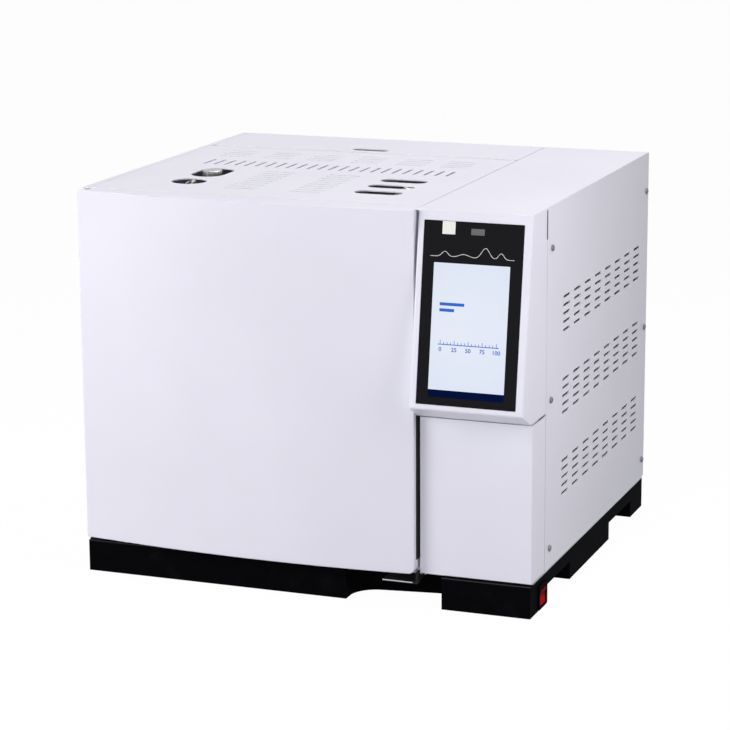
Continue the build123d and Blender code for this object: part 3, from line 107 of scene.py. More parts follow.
class Wire:
    """A node socket that takes part in Python arithmetic."""

    def __init__(self, sheet: "NodeSheet", socket: bpy.types.NodeSocket) -> None:
        """Holds the socket and the sheet that it is on."""
        self.sheet = sheet
        self.socket = socket

    def math(self, operation: str, *values: "Value", first: bool = True) -> "Wire":
        """Adds a Math node.

        Args:
            operation: Name of the Math node's operation.
            values: The other operands.
            first: Whether this wire is the first operand.

        Returns:
            The node's result.
        """
        operands = [self, *values] if first else [*values, self]
        return self.sheet.add(
            "ShaderNodeMath", {"operation": operation}, {i: v for i, v in enumerate(operands)}
        )[0]

    def __add__(self, other: "Value") -> "Wire":
        """Sum."""
        return self.math("ADD", other)

    __radd__ = __add__

    def __sub__(self, other: "Value") -> "Wire":
        """Difference."""
        return self.math("SUBTRACT", other)

    def __rsub__(self, other: "Value") -> "Wire":
        """Difference from a number."""
        return self.math("SUBTRACT", other, first=False)

    def __mul__(self, other: "Value") -> "Wire":
        """Product."""
        return self.math("MULTIPLY", other)

    __rmul__ = __mul__

    def __truediv__(self, other: "Value") -> "Wire":
        """Quotient."""
        return self.math("DIVIDE", other)

    def __rtruediv__(self, other: "Value") -> "Wire":
        """Number over this wire."""
        return self.math("DIVIDE", other, first=False)

    def __abs__(self) -> "Wire":
        """Absolute value."""
        return self.math("ABSOLUTE")

    def ramp(self, low: float, high: float, start: float = 0.0, end: float = 1.0) -> "Wire":
        """Smooth step from one value to another.

        Args:
            low: Input at which the step begins.
            high: Input at which it ends.
            start: Value before the step.
            end: Value after it.

        Returns:
            The stepped value.
        """
        return self.sheet.add(
            "ShaderNodeMapRange",
            {"interpolation_type": "SMOOTHSTEP"},
            {"Value": self, "From Min": low, "From Max": high, "To Min": start, "To Max": end},
        )[0]


Value = Union[float, int, Sequence[float], Wire]


class NodeSheet:
    """The node tree of one material, or of the air round the instrument."""

    def __init__(self, name: str, air: bool = False) -> None:
        """Makes an empty material, or an empty world, with that name.

        Args:
            name: Its name.
            air: Whether it is a world.
        """
        self.material = (bpy.data.worlds if air else bpy.data.materials).new(name)
        self.material.use_nodes = True
        self.tree = self.material.node_tree
        self.tree.nodes.clear()

    def add(
        self,
        kind: str,
        settings: Optional[Dict[str, object]] = None,
        values: Optional[Dict[Union[int, str], Value]] = None,
    ) -> List[Wire]:
        """Adds one node.

        Args:
            kind: The node's type.
            settings: Its properties, set first.
            values: Values or wires for its inputs, by name or number.

        Returns:
            Its outputs as wires.
        """
        node = self.tree.nodes.new(kind)
        for key, value in (settings or {}).items():
            setattr(node, key, value)
        for key, value in (values or {}).items():
            socket = node.inputs[key]
            if isinstance(value, Wire):
                self.tree.links.new(value.socket, socket)
            else:
                socket.default_value = value
        return [Wire(self, output) for output in node.outputs]

    def place(self) -> Wire:
        """Object coordinates, in metres in the shared frame."""
        return self.add("ShaderNodeTexCoord")[3]

    def looked_at(self) -> Wire:
        """1 for rays of the camera, of mirrors and through glass, else 0."""
        seen = self.add("ShaderNodeLightPath")
        return seen[0].math("MAXIMUM", seen[3]).math("MAXIMUM", seen[6])

    def split(self, vector: Wire) -> List[Wire]:
        """The three parts of a vector."""
        return self.add("ShaderNodeSeparateXYZ", None, {"Vector": vector})

    def stretch(self, vector: Wire, scale: Triple, turn: Triple = (0, 0, 0)) -> Wire:
        """Vector scaled and turned by a Mapping node.

        Args:
            vector: The vector.
            scale: Factor along each axis.
            turn: Turn about each axis, in degrees.

        Returns:
            The mapped vector.
        """
        return self.add(
            "ShaderNodeMapping",
            {"vector_type": "POINT"},
            {
                "Vector": vector,
                "Scale": scale,
                "Rotation": tuple(math.radians(a) for a in turn),
            },
        )[0]

    def noise(self, vector: Wire, scale: float, detail: float = 3.0, rough: float = 0.5) -> Wire:
        """Noise value from 0 to 1.

        Args:
            vector: Where it is read.
            scale: Waves per metre.
            detail: Octaves.
            rough: Strength of each octave against the one before.

        Returns:
            The value.
        """
        return self.add(
            "ShaderNodeTexNoise",
            {"noise_dimensions": "3D"},
            {"Vector": vector, "Scale": scale, "Detail": detail, "Roughness": rough},
        )[0]

    def cells(self, vector: Wire, scale: float) -> List[Wire]:
        """Voronoi cells: distance, colour and position."""
        return self.add("ShaderNodeTexVoronoi", {"feature": "F1"}, {"Vector": vector, "Scale": scale})

    def blend(self, share: Value, first: Value, second: Value) -> Wire:
        """Colour between two colours.

        Args:
            share: 0 for the first, 1 for the second.
            first: First colour.
            second: Second colour.

        Returns:
            The mixed colour.
        """
        return self.add(
            "ShaderNodeMix", {"data_type": "RGBA"}, {0: share, 6: first, 7: second}
        )[2]

    def bump(self, height: Wire, strength: float, depth: float, under: Optional[Wire] = None) -> Wire:
        """Normal bent by a height.

        Args:
            height: Height from 0 to 1.
            strength: Share of the full effect.
            depth: Height in metres that 1 stands for.
            under: Normal of a bump below this one.

        Returns:
            The normal.
        """
        values: Dict[Union[int, str], Value] = {
            "Height": height, "Strength": strength, "Distance": depth
        }
        if under is not None:
            values["Normal"] = under
        return self.add("ShaderNodeBump", None, values)[0]

    def surface(self, constants: Dict[str, Value], **varying: Value) -> bpy.types.Material:
        """Ends the sheet in one Principled shader.

        Args:
            constants: Inputs by name that are the same all over.
            varying: Inputs that change over the surface, with _ for spaces.

        Returns:
            The material.
        """
        values = dict(constants)
        values.update({key.replace("_", " "): value for key, value in varying.items()})
        shader = self.add("ShaderNodeBsdfPrincipled", None, values)[0]
        self.add("ShaderNodeOutputMaterial", None, {"Surface": shader})
        return self.material


# ---------------------------------------------------------------- finishes
@dataclass(frozen=True)
class Finish:
    """A finish of the instrument. Each kind gives its own nodes."""

    name: str

    def begin(self) -> Tuple[NodeSheet, Wire]:
        """Empty sheet of this finish, and the place on the piece."""
        sheet = NodeSheet(self.name)
        return sheet, sheet.place()

    def make(self) -> bpy.types.Material:
        """The material; each kind of finish has its own."""
        raise NotImplementedError(self.name)


@dataclass(frozen=True)
class PowderCoat(Finish):
    """Baked powder coat: faint orange peel, soft drift of tone, rubbed and dusty low edges."""

    clean: Triple = (233, 232, 243)
    shaded: Triple = (229, 228, 239)
    dust: Triple = (222, 220, 228)
    peel_scale: float = 520.0
    gloss: float = 0.36

    def make(self) -> bpy.types.Material:
        """Peel and fleck as bump, drift and dust as colour and roughness."""
        sheet, place = self.begin()
        height = sheet.split(place)[2]
        peel = sheet.noise(place, self.peel_scale, 2.0, 0.45)
        fleck = sheet.noise(place, 3600.0, 1.0)
        drift = sheet.noise(place, 5.0, 2.0)
        scuff = sheet.noise(sheet.stretch(place, (1, 1, 6)), 40.0, 4.0, 0.7).ramp(0.60, 0.78)
        low = height.ramp(0.035, 0.075, 1.0, 0.0)
        colour = sheet.blend(drift.ramp(0.3, 0.7), tint(*self.clean), tint(*self.shaded))
        colour = sheet.blend(low * scuff * 0.5 + (fleck.ramp(0.68, 0.8) * 0.10), colour, tint(*self.dust))
        rough = self.gloss + peel * 0.06 + drift * 0.05 + scuff * 0.04
        normal = sheet.bump(fleck, 0.10, 0.00004)
        normal = sheet.bump(peel, 0.16, 0.00012, normal)
        return sheet.surface(
            {"IOR": 1.46, "Coat Roughness": 0.16, "Coat IOR": 1.45},
            Base_Color=colour, Roughness=rough, Coat_Weight=0.25 - scuff * 0.08, Normal=normal,
        )


@dataclass(frozen=True)
class Grained(Finish):
    """Matt or satin moulding and paint with a fine leather grain and light rub marks."""

    base: Triple = (16, 15, 20)
    worn: Triple = (44, 43, 48)
    rough_from: float = 0.46
    rough_to: float = 0.62
    grain: float = 900.0
    depth: float = 0.00008
    gloss_level: float = 0.25
    wear: float = 0.5

    def make(self) -> bpy.types.Material:
        """Cell grain as bump, with cloudy roughness and light rub marks."""
        sheet, place = self.begin()
        cell = sheet.cells(place, self.grain)[0]
        cloud = sheet.noise(place, 28.0, 4.0, 0.6)
        rub = sheet.noise(sheet.stretch(place, (1, 1, 3)), 70.0, 5.0, 0.7).ramp(0.62, 0.8)
        colour = sheet.blend(rub * self.wear, tint(*self.base), tint(*self.worn))
        rough = self.rough_from + cloud * (self.rough_to - self.rough_from)
        normal = sheet.bump(cell, 0.35, self.depth)
        return sheet.surface(
            {"Specular IOR Level": self.gloss_level},
            Base_Color=colour, Roughness=rough, Normal=normal,
        )


@dataclass(frozen=True)
class HighlightEdgePaint(Grained):
    """Black paint with a painted highlight line along its upper front edge."""

    # colour of the painted highlight along the upper front edge
    edge: Triple = (62, 62, 68)
    edge_z: float = 0.0387
    front_y: float = -0.2438

    def make(self) -> bpy.types.Material:
        """Cell grain as bump, and a painted highlight line along the upper front edge."""
        sheet, place = self.begin()
        _, depth, height = sheet.split(place)
        cell = sheet.cells(place, self.grain)[0]
        cloud = sheet.noise(place, 28.0, 4.0, 0.6)
        # painted highlight: a lighter line where the upper front edge catches the light
        line = height.ramp(self.edge_z, self.edge_z + 0.0007)
        line = line * depth.ramp(self.front_y, self.front_y + 0.001, 1.0, 0.0)
        colour = sheet.blend(cloud.ramp(0.5, 0.8) * self.wear, tint(*self.base), tint(*self.worn))
        colour = sheet.blend(line * (0.6 + cloud * 0.4), colour, tint(*self.edge))
        return sheet.surface(
            {"Specular IOR Level": self.gloss_level},
            Base_Color=colour, Roughness=self.rough_from + cloud * (self.rough_to - self.rough_from),
            Normal=sheet.bump(cell, 0.35, self.depth),
        )


@dataclass(frozen=True)
class PlatedSheet(Finish):
    """Zinc-plated steel: soft spangle, a faint warm passivation and handling smears."""

    base: Triple = (186, 190, 194)
    warm: Triple = (190, 184, 158)
    spangle: float = 110.0

    def make(self) -> bpy.types.Material:
        """Cells change the tone and the roughness from crystal to crystal."""
        sheet, place = self.begin()
        crystal = sheet.cells(place, self.spangle)[1]
        tone = sheet.split(crystal)[0]
        smear = sheet.noise(place, 14.0, 4.0, 0.6)
        colour = sheet.blend(smear.ramp(0.45, 0.75) * 0.45, tint(*self.base), tint(*self.warm))
        colour = sheet.blend(tone * 0.16, colour, tint(132, 138, 146))
        fine = sheet.noise(place, 1800.0, 2.0)
        return sheet.surface(
            {},
            Base_Color=colour, Metallic=0.9, Roughness=0.34 + tone * 0.14 + smear * 0.08,
            Normal=sheet.bump(fine, 0.15, 0.00004),
        )


@dataclass(frozen=True)
class BrushedMetal(Finish):
    """Brushed or turned metal with lines along one axis and an optional heat tint."""

    base: Triple = (190, 189, 186)
    tinted: Triple = (182, 160, 118)
    heat: float = 0.0
    along: Axis = Axis.X
    rough_from: float = 0.24
    rough_to: float = 0.42
    lines: float = 2600.0

    def make(self) -> bpy.types.Material:
        """Noise stretched along the lines drives roughness and bump."""
        sheet, place = self.begin()
        scale = [1.0, 1.0, 1.0]
        scale[self.along.value] = 0.03
        line = sheet.noise(sheet.stretch(place, tuple(scale)), self.lines, 3.0, 0.65)
        cloud = sheet.noise(place, 18.0, 3.0)
        colour = sheet.blend(line * 0.22, tint(*self.base), tint(*(0.82 * c for c in self.base)))
        colour = sheet.blend(cloud.ramp(0.42, 0.7) * self.heat, colour, tint(*self.tinted))
        rough = self.rough_from + line * (self.rough_to - self.rough_from) + cloud * 0.05
        return sheet.surface(
            {},
            Base_Color=colour, Metallic=1.0, Roughness=rough,
            Normal=sheet.bump(line, 0.22, 0.00005),
        )


@dataclass(frozen=True)
class MineralWool(Finish):
    """Pressed mineral wool: tangled pale fibres with darker shot."""

    base: Triple = (222, 215, 196)
    deep: Triple = (178, 166, 138)

    def make(self) -> bpy.types.Material:
        """Two stretched noises cross as fibres."""
        sheet, place = self.begin()
        first = sheet.noise(sheet.stretch(place, (1, 0.12, 1), turn=(0, 0, 35)), 1500.0, 3.0, 0.7)
        second = sheet.noise(sheet.stretch(place, (0.12, 1, 0.5), turn=(0, 20, 70)), 1300.0, 3.0, 0.7)
        fibre = (first + second) * 0.5
        lump = sheet.noise(place, 60.0, 3.0)
        colour = sheet.blend(fibre.ramp(0.35, 0.62), tint(*self.deep), tint(*self.base))
        colour = sheet.blend(lump.ramp(0.6, 0.8) * 0.3, colour, tint(*self.deep))
        normal = sheet.bump(lump, 0.5, 0.002)
        normal = sheet.bump(fibre, 0.7, 0.0006, normal)
        return sheet.surface(
            {"Specular IOR Level": 0.1}, Base_Color=colour, Roughness=0.92 + fibre * 0.08, Normal=normal
        )


@dataclass(frozen=True)
class Silicone(Finish):
    """Pale silicone with a dusty bloom and slight heat yellowing."""

    base: Triple = (214, 210, 200)
    aged: Triple = (196, 180, 146)

    def make(self) -> bpy.types.Material:
        """Bloom as roughness, yellowing as colour."""
        sheet, place = self.begin()
        bloom = sheet.noise(place, 220.0, 4.0, 0.6)
        age = sheet.noise(place, 22.0, 3.0)
        colour = sheet.blend(age.ramp(0.5, 0.75) * 0.6, tint(*self.base), tint(*self.aged))
        return sheet.surface(
            {}, Base_Color=colour, Roughness=0.5 + bloom * 0.2, Normal=sheet.bump(bloom, 0.25, 0.0002)
        )


@dataclass(frozen=True)
class WoundColumn(Finish):
    """Amber coated fused silica wound in close turns."""

    base: Triple = (168, 96, 34)
    deep: Triple = (92, 44, 14)
    turn_pitch: float = 0.0007

    def make(self) -> bpy.types.Material:
        """Bands across the coil's width stand for single turns, painted darker where neighbouring turns meet
        as painted shade.
        """
        sheet, place = self.begin()
        across = sheet.split(place)[1]
        wander = sheet.noise(place, 90.0, 2.0) * 0.0004
        turn = abs(((across + wander) / self.turn_pitch).math("FRACT") - 0.5) * 2.0
        tone = sheet.noise(place, 40.0, 3.0)
        # painted shade in the grooves between neighbouring turns
        colour = sheet.blend(turn.ramp(0.55, 1.0), tint(*self.base), tint(*self.deep))
        colour = sheet.blend(tone * 0.35, colour, tint(196, 128, 58))
        return sheet.surface(
            {"Coat Roughness": 0.08},
            Base_Color=colour, Roughness=0.24 + tone * 0.12, Coat_Weight=0.5,
            Normal=sheet.bump(1.0 - turn, 0.6, 0.0003),
        )


@dataclass(frozen=True)
class PanelGlass(Finish):
    """Black-printed cover glass with a few finger marks."""

    base: Triple = (15, 15, 19)

    def make(self) -> bpy.types.Material:
        """Finger marks dull the gloss."""
        sheet, place = self.begin()
        mark = sheet.noise(place, 34.0, 4.0, 0.55).ramp(0.56, 0.74)
        grease = sheet.noise(place, 900.0, 2.0)
        colour = sheet.blend(mark * 0.35, tint(*self.base), tint(20, 20, 24))
        return sheet.surface(
            {"Specular IOR Level": 0.1},
            Base_Color=colour, Roughness=0.07 + mark * 0.12 + mark * grease * 0.1,
        )


@dataclass(frozen=True)
class CircuitBoard(Finish):
    """Solder mask over copper tracks, with tinned pads."""

    mask: Triple = (14, 92, 48)
    track: Triple = (40, 132, 70)

    def make(self) -> bpy.types.Material:
        """Bricks in two directions give tracks; cells give pads."""
        sheet, place = self.begin()
        flat = sheet.stretch(place, (1, 1, 1), turn=(0, 90, 0))
        row = sheet.add(
            "ShaderNodeTexBrick", {"offset": 0.37},
            {"Vector": flat, "Scale": 90.0, "Mortar Size": 0.055, "Brick Width": 1.7, "Row Height": 0.16},
        )[1]
        pad = sheet.cells(place, 260.0)[0].ramp(0.16, 0.22, 1.0, 0.0)
        weave = sheet.noise(place, 1400.0, 2.0)
        colour = sheet.blend(row * 0.8, tint(*self.mask), tint(*self.track))
        colour = sheet.blend(pad, colour, tint(196, 196, 190))
        return sheet.surface(
            {"Coat Roughness": 0.12},
            Base_Color=colour, Roughness=0.32 + weave * 0.12, Metallic=pad * 0.8, Coat_Weight=0.4,
            Normal=sheet.bump(row, 0.4, 0.00006),
        )


@dataclass(frozen=True)
class PaintedLightRocker(Finish):
    """Translucent red rocker with a painted lit and glowing lower half, a painted shaded upper half and fine
    moulding haze.
    """

    # the colours of the two halves and the glow are painted light and painted shade
    base: Triple = (120, 8, 8)
    deep: Triple = (96, 8, 12)
    glow: Triple = (176, 14, 8)
    split_z: float = 0.0165

    def make(self) -> bpy.types.Material:
        """The half below the pivot is painted lighter with a painted glow, the half above painted darker:
        painted light and painted shade of the tilted halves.
        """
        sheet, place = self.begin()
        # painted light: lower half painted lit and glowing, upper half painted shaded
        low = sheet.split(place)[2].ramp(self.split_z - 0.002, self.split_z + 0.001, 1.0, 0.0)
        haze = sheet.noise(place, 700.0, 2.0)
        colour = sheet.blend(low, tint(*self.deep), tint(*self.base))
        glow = sheet.blend(low, tint(20, 0, 0), tint(*self.glow))
        return sheet.surface(
            {"Emission Strength": 0.5, "Specular IOR Level": 0.002},
            Base_Color=colour, Roughness=0.3 + haze * 0.15, Emission_Color=glow,
        )


@dataclass(frozen=True)
class HighlightLipPaint(Finish):
    """Black painted sheet, its black partly standing in for the door's shadow, with a painted highlight along
    its front lip.
    """

    base: Triple = (15, 15, 18)
    # colour of the painted highlight on the front lip
    bare: Triple = (196, 196, 200)
    lip_y: float = -0.2522
    lip_end: float = 0.1445
    lip_low: float = 0.0321

    def make(self) -> bpy.types.Material:
        """The painted highlight starts at the lip and frays a little behind it."""
        sheet, place = self.begin()
        fray = sheet.noise(place, 260.0, 3.0)
        across, depth, height = sheet.split(place)
        # painted highlight: the front lip painted as bright lit metal
        bare = (depth + fray * 0.0008).ramp(self.lip_y, self.lip_y + 0.0006, 1.0, 0.0)
        bare = bare * across.ramp(self.lip_end - 0.001, self.lip_end, 1.0, 0.0)
        bare = bare * height.ramp(self.lip_low, self.lip_low + 0.0004)
        grain = sheet.noise(place, 1400.0, 2.0)
        return sheet.surface(
            {"Specular IOR Level": 0.2},
            Base_Color=sheet.blend(bare, tint(*self.base), tint(*self.bare)), Metallic=bare * 0.9,
            Roughness=0.5 - bare * 0.2 + grain * 0.1, Normal=sheet.bump(grain, 0.2, 0.00004),
        )


@dataclass(frozen=True)
class LitScreen(Finish):
    """Lit liquid-crystal picture: pale blue with a soft fall of brightness."""

    bright: Triple = (228, 233, 245)
    edge: Triple = (218, 227, 244)
    strength: float = 1.0
    centre: Triple = (0.2193, -0.2692, 0.352)

    def make(self) -> bpy.types.Material:
        """A fall from the middle outwards, and the fine grid of the picture cells."""
        sheet, place = self.begin()
        away = sheet.add(
            "ShaderNodeVectorMath", {"operation": "DISTANCE"}, {0: place, 1: self.centre}
        )[1]
        cloud = sheet.noise(place, 16.0, 2.0)
        colour = sheet.blend(
            away.ramp(0.02, 0.1) * 0.7 + cloud * 0.3, tint(*self.bright), tint(*self.edge)
        )
        grid = sheet.noise(place, 2500.0, 1.0)
        return sheet.surface(
            {"Emission Strength": self.strength, "Specular IOR Level": 0.15,
             "Base Color": tint(8, 9, 12)},
            Emission_Color=colour, Roughness=0.12 + grid * 0.05,
        )


@dataclass(frozen=True)
class Ink(Finish):
    """Printed or lit marks: a flat colour with the small unevenness of ink."""

    base: Triple = (230, 230, 230)
    lit: float = 0.0
    gloss: float = 0.2

    def make(self) -> bpy.types.Material:
        """Uneven ink, lit from behind where it is part of the screen."""
        sheet, place = self.begin()
        cover = sheet.noise(place, 1600.0, 2.0)
        colour = sheet.blend(cover * 0.12, tint(*self.base), tint(*(0.88 * c for c in self.base)))
        glow = sheet.blend(cover * 0.05, tint(*self.base), tint(*(0.9 * c for c in self.base)))
        constants: Dict[str, Value] = {"Specular IOR Level": self.gloss, "Emission Strength": self.lit}
        if not self.lit:
            return sheet.surface(constants, Base_Color=colour, Roughness=0.45 + cover * 0.15)
        constants["Base Color"] = tint(*(0.2 * c for c in self.base))
        return sheet.surface(constants, Emission_Color=glow, Roughness=0.2 + cover * 0.1)


@dataclass(frozen=True)
class Paper(Finish):
    """Coated paper sticker with faint fibres and a lifted, yellowed rim."""

    base: Triple = (240, 238, 232)
    worn: Triple = (222, 216, 200)

    def make(self) -> bpy.types.Material:
        """Fibres as bump, age as cloud."""
        sheet, place = self.begin()
        fibre = sheet.noise(sheet.stretch(place, (1, 0.2, 1)), 2400.0, 3.0)
        age = sheet.noise(place, 120.0, 3.0).ramp(0.5, 0.75)
        colour = sheet.blend(age * 0.5, tint(*self.base), tint(*self.worn))
        return sheet.surface(
            {"Specular IOR Level": 0.3},
            Base_Color=colour, Roughness=0.6 + fibre * 0.15, Normal=sheet.bump(fibre, 0.2, 0.00005),
        )


# ---------------------------------------------------------------- modelling tools
def linked(name: str, data: bpy.types.ID) -> bpy.types.Object:
    """Object with that data, in the scene.

    Args:
        name: Name of the object.
        data: Its curve, text, lamp or camera.

    Returns:
        The object.
    """
    obj = bpy.data.objects.new(name, data)
    bpy.context.scene.collection.objects.link(obj)
    return obj


class Work:
    """One mesh on the bench, shaped by operators and left with its place in its mesh."""

    def __init__(self, name: str) -> None:
        """Takes the object that an operator has just added, and names it."""
        self.obj = bpy.context.active_object
        self.obj.name = name
        self.obj.data.name = name

    @staticmethod
    def clear() -> None:
        """Leaves edit mode and deselects everything."""
        if bpy.context.mode != "OBJECT":
            bpy.ops.object.mode_set(mode="OBJECT")
        bpy.ops.object.select_all(action="DESELECT")

    @classmethod
    def slab(cls, name: str, low: Triple, high: Triple) -> "Work":
        """Block between two corners.

        Args:
            name: Name of the piece.
            low: Lowest corner, in metres.
            high: Highest corner, in metres.

        Returns:
            The mesh on the bench.
        """
        cls.clear()
        middle = [(a + b) / 2 for a, b in zip(low, high)]
        size = [b - a for a, b in zip(low, high)]
        bpy.ops.mesh.primitive_cube_add(size=1.0, location=middle, scale=size)
        return cls(name).settle()

    @classmethod
    def turned(cls, name: str, centre: Triple, radius: float, depth: float, sides: int,
               axis: Axis = Axis.Z) -> "Work":
        """Round or many-sided blank.

        Args:
            name: Name of the piece.
            centre: Its middle, in metres.
            radius: Its radius.
            depth: Its length along the axis.
            sides: How many sides it has.
            axis: The axis it stands on.

        Returns:
            The mesh on the bench.
        """
        cls.clear()
        turn = {Axis.X: (0, math.pi / 2, 0), Axis.Y: (math.pi / 2, 0, 0), Axis.Z: (0, 0, 0)}[axis]
        bpy.ops.mesh.primitive_cylinder_add(
            vertices=sides, radius=radius, depth=depth, location=centre, rotation=turn
        )
        return cls(name).settle()

    @classmethod
    def line(cls, name: str, points: Sequence[Triple], radius: float, smooth: bool = False) -> "Work":
        """Round bar along a line of points, turned into a mesh.

        Args:
            name: Name of the piece.
            points: The points of the line.
            radius: Radius of the bar.
            smooth: Whether the line is a smooth one through its control points.

        Returns:
            The mesh on the bench.
        """
        cls.clear()
        data = bpy.data.curves.new(name, "CURVE")
        data.dimensions = "3D"
        data.bevel_depth = radius
        data.bevel_resolution = 2
        data.use_fill_caps = True
        spline = data.splines.new("NURBS" if smooth else "POLY")
        spline.points.add(len(points) - 1)
        for point, co in zip(spline.points, points):
            point.co = (*co, 1.0)
        if smooth:
            spline.use_endpoint_u = True
            spline.order_u = 3
        return cls.from_flat(data, name)

    @classmethod
    def digits(cls, name: str, text: str, size: float, height: float) -> "Work":
        """Plain numbers as a thin solid, middle at the origin, reading along X.

        Args:
            name: Name of the piece.
            text: The numbers.
            size: Height of the letters' body.
            height: Thickness of the solid.

        Returns:
            The mesh on the bench.
        """
        cls.clear()
        data = bpy.data.curves.new(name, "FONT")
        data.body = text
        data.size = size
        data.extrude = height / 2
        data.offset = size * 0.018
        data.align_x = "CENTER"
        data.align_y = "CENTER"
        data.resolution_u = 4
        return cls.from_flat(data, name)

    @classmethod
    def from_flat(cls, data: bpy.types.ID, name: str) -> "Work":
        """Turns a curve or text into a mesh on the bench.

        Args:
            data: The curve or text.
            name: Name of the piece.

        Returns:
            The mesh on the bench.
        """
        obj = linked(name, data)
        obj.select_set(True)
        bpy.context.view_layer.objects.active = obj
        bpy.ops.object.convert(target="MESH")
        return cls(name).settle()

    def focus(self) -> None:
        """Makes this mesh the only selected and the active one."""
        self.clear()
        self.obj.select_set(True)
        bpy.context.view_layer.objects.active = self.obj

    def settle(self) -> "Work":
        """Puts the object's place, turn and scale into its mesh."""
        self.focus()
        bpy.ops.object.transform_apply(location=True, rotation=True, scale=True)
        return self

    def pick(self, test: Callable[[bmesh.types.BMFace], bool]) -> "Work":
        """Enters edit mode with the faces selected that pass the test.

        Args:
            test: Says whether a face is picked.

        Returns:
            This mesh.
        """
        self.focus()
        bpy.ops.object.mode_set(mode="EDIT")
        bpy.ops.mesh.select_mode(type="FACE")
        bpy.ops.mesh.select_all(action="DESELECT")
        mesh = bmesh.from_edit_mesh(self.obj.data)
        for face in mesh.faces:
            face.select_set(test(face))
        mesh.select_flush_mode()
        bmesh.update_edit_mesh(self.obj.data)
        return self

    def inset(self, width: float, depth: float = 0.0) -> "Work":
        """Insets the picked faces, and sinks (below 0) or raises them."""
        bpy.ops.mesh.inset(thickness=width, depth=depth)
        return self

    def push(self, move: Triple) -> "Work":
        """Extrudes the picked faces by that vector."""
        bpy.ops.mesh.extrude_region_move(TRANSFORM_OT_translate={"value": move})
        return self

    def done(self) -> "Work":
        """Leaves edit mode."""
        bpy.ops.object.mode_set(mode="OBJECT")
        return self

    def bevel(self, width: float, segments: int = 2, angle: float = 30.0) -> "Work":
        """Rounds the edges with an applied Bevel modifier.

        Args:
            width: Width of the round.
            segments: Steps across it.
            angle: Sharpest fold, in degrees, that is left alone.

        Returns:
            This mesh.
        """
        self.focus()
        rounding = self.obj.modifiers.new("round", "BEVEL")
        rounding.width = width
        rounding.segments = segments
        rounding.limit_method = "ANGLE"
        rounding.angle_limit = math.radians(angle)
        bpy.ops.object.modifier_apply(modifier=rounding.name)
        return self

    def smooth(self, angle: float = 35.0) -> "Work":
        """Shades smooth below that fold angle."""
        self.focus()
        bpy.ops.object.shade_smooth_by_angle(angle=math.radians(angle))
        return self

    def lay(self, matrix: Matrix) -> "Work":
        """Turns and moves the mesh by a matrix.

        Args:
            matrix: The turn and move.

        Returns:
            This mesh.
        """
        self.obj.matrix_world = matrix
        bpy.context.view_layer.update()
        return self.settle()

    def again(self, name: str, shift: Triple) -> "Work":
        """Copy with its own mesh, moved by that vector.

        Args:
            name: Name of the copy.
            shift: How far it is moved.

        Returns:
            The copy.
        """
        self.focus()
        bpy.ops.object.duplicate(linked=False)
        copy = Work(name)
        copy.obj.location = shift
        bpy.context.view_layer.update()
        return copy.settle()

    def join(self, others: Sequence["Work"]) -> "Work":
        """Joins other meshes into this one.

        Args:
            others: The meshes to join.

        Returns:
            This mesh.
        """
        self.focus()
        for other in others:
            other.obj.select_set(True)
        bpy.ops.object.join()
        return self

    def fit(self, body: Body, slot: Slot, material: bpy.types.Material, *nodes: str) -> None:
        """Dresses the piece and rides it on its body.

        Args:
            body: The body that carries it.
            slot: Not used.
            material: Its finish.
            nodes: CAD nodes that it stands for.
        """
        self.obj.data.materials.clear()
        self.obj.data.materials.append(material)
        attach(self.obj, body.value)
        if nodes:
            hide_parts(*nodes)
        log.info("piece %s on %s, %d faces", self.obj.name, body.value, len(self.obj.data.polygons))


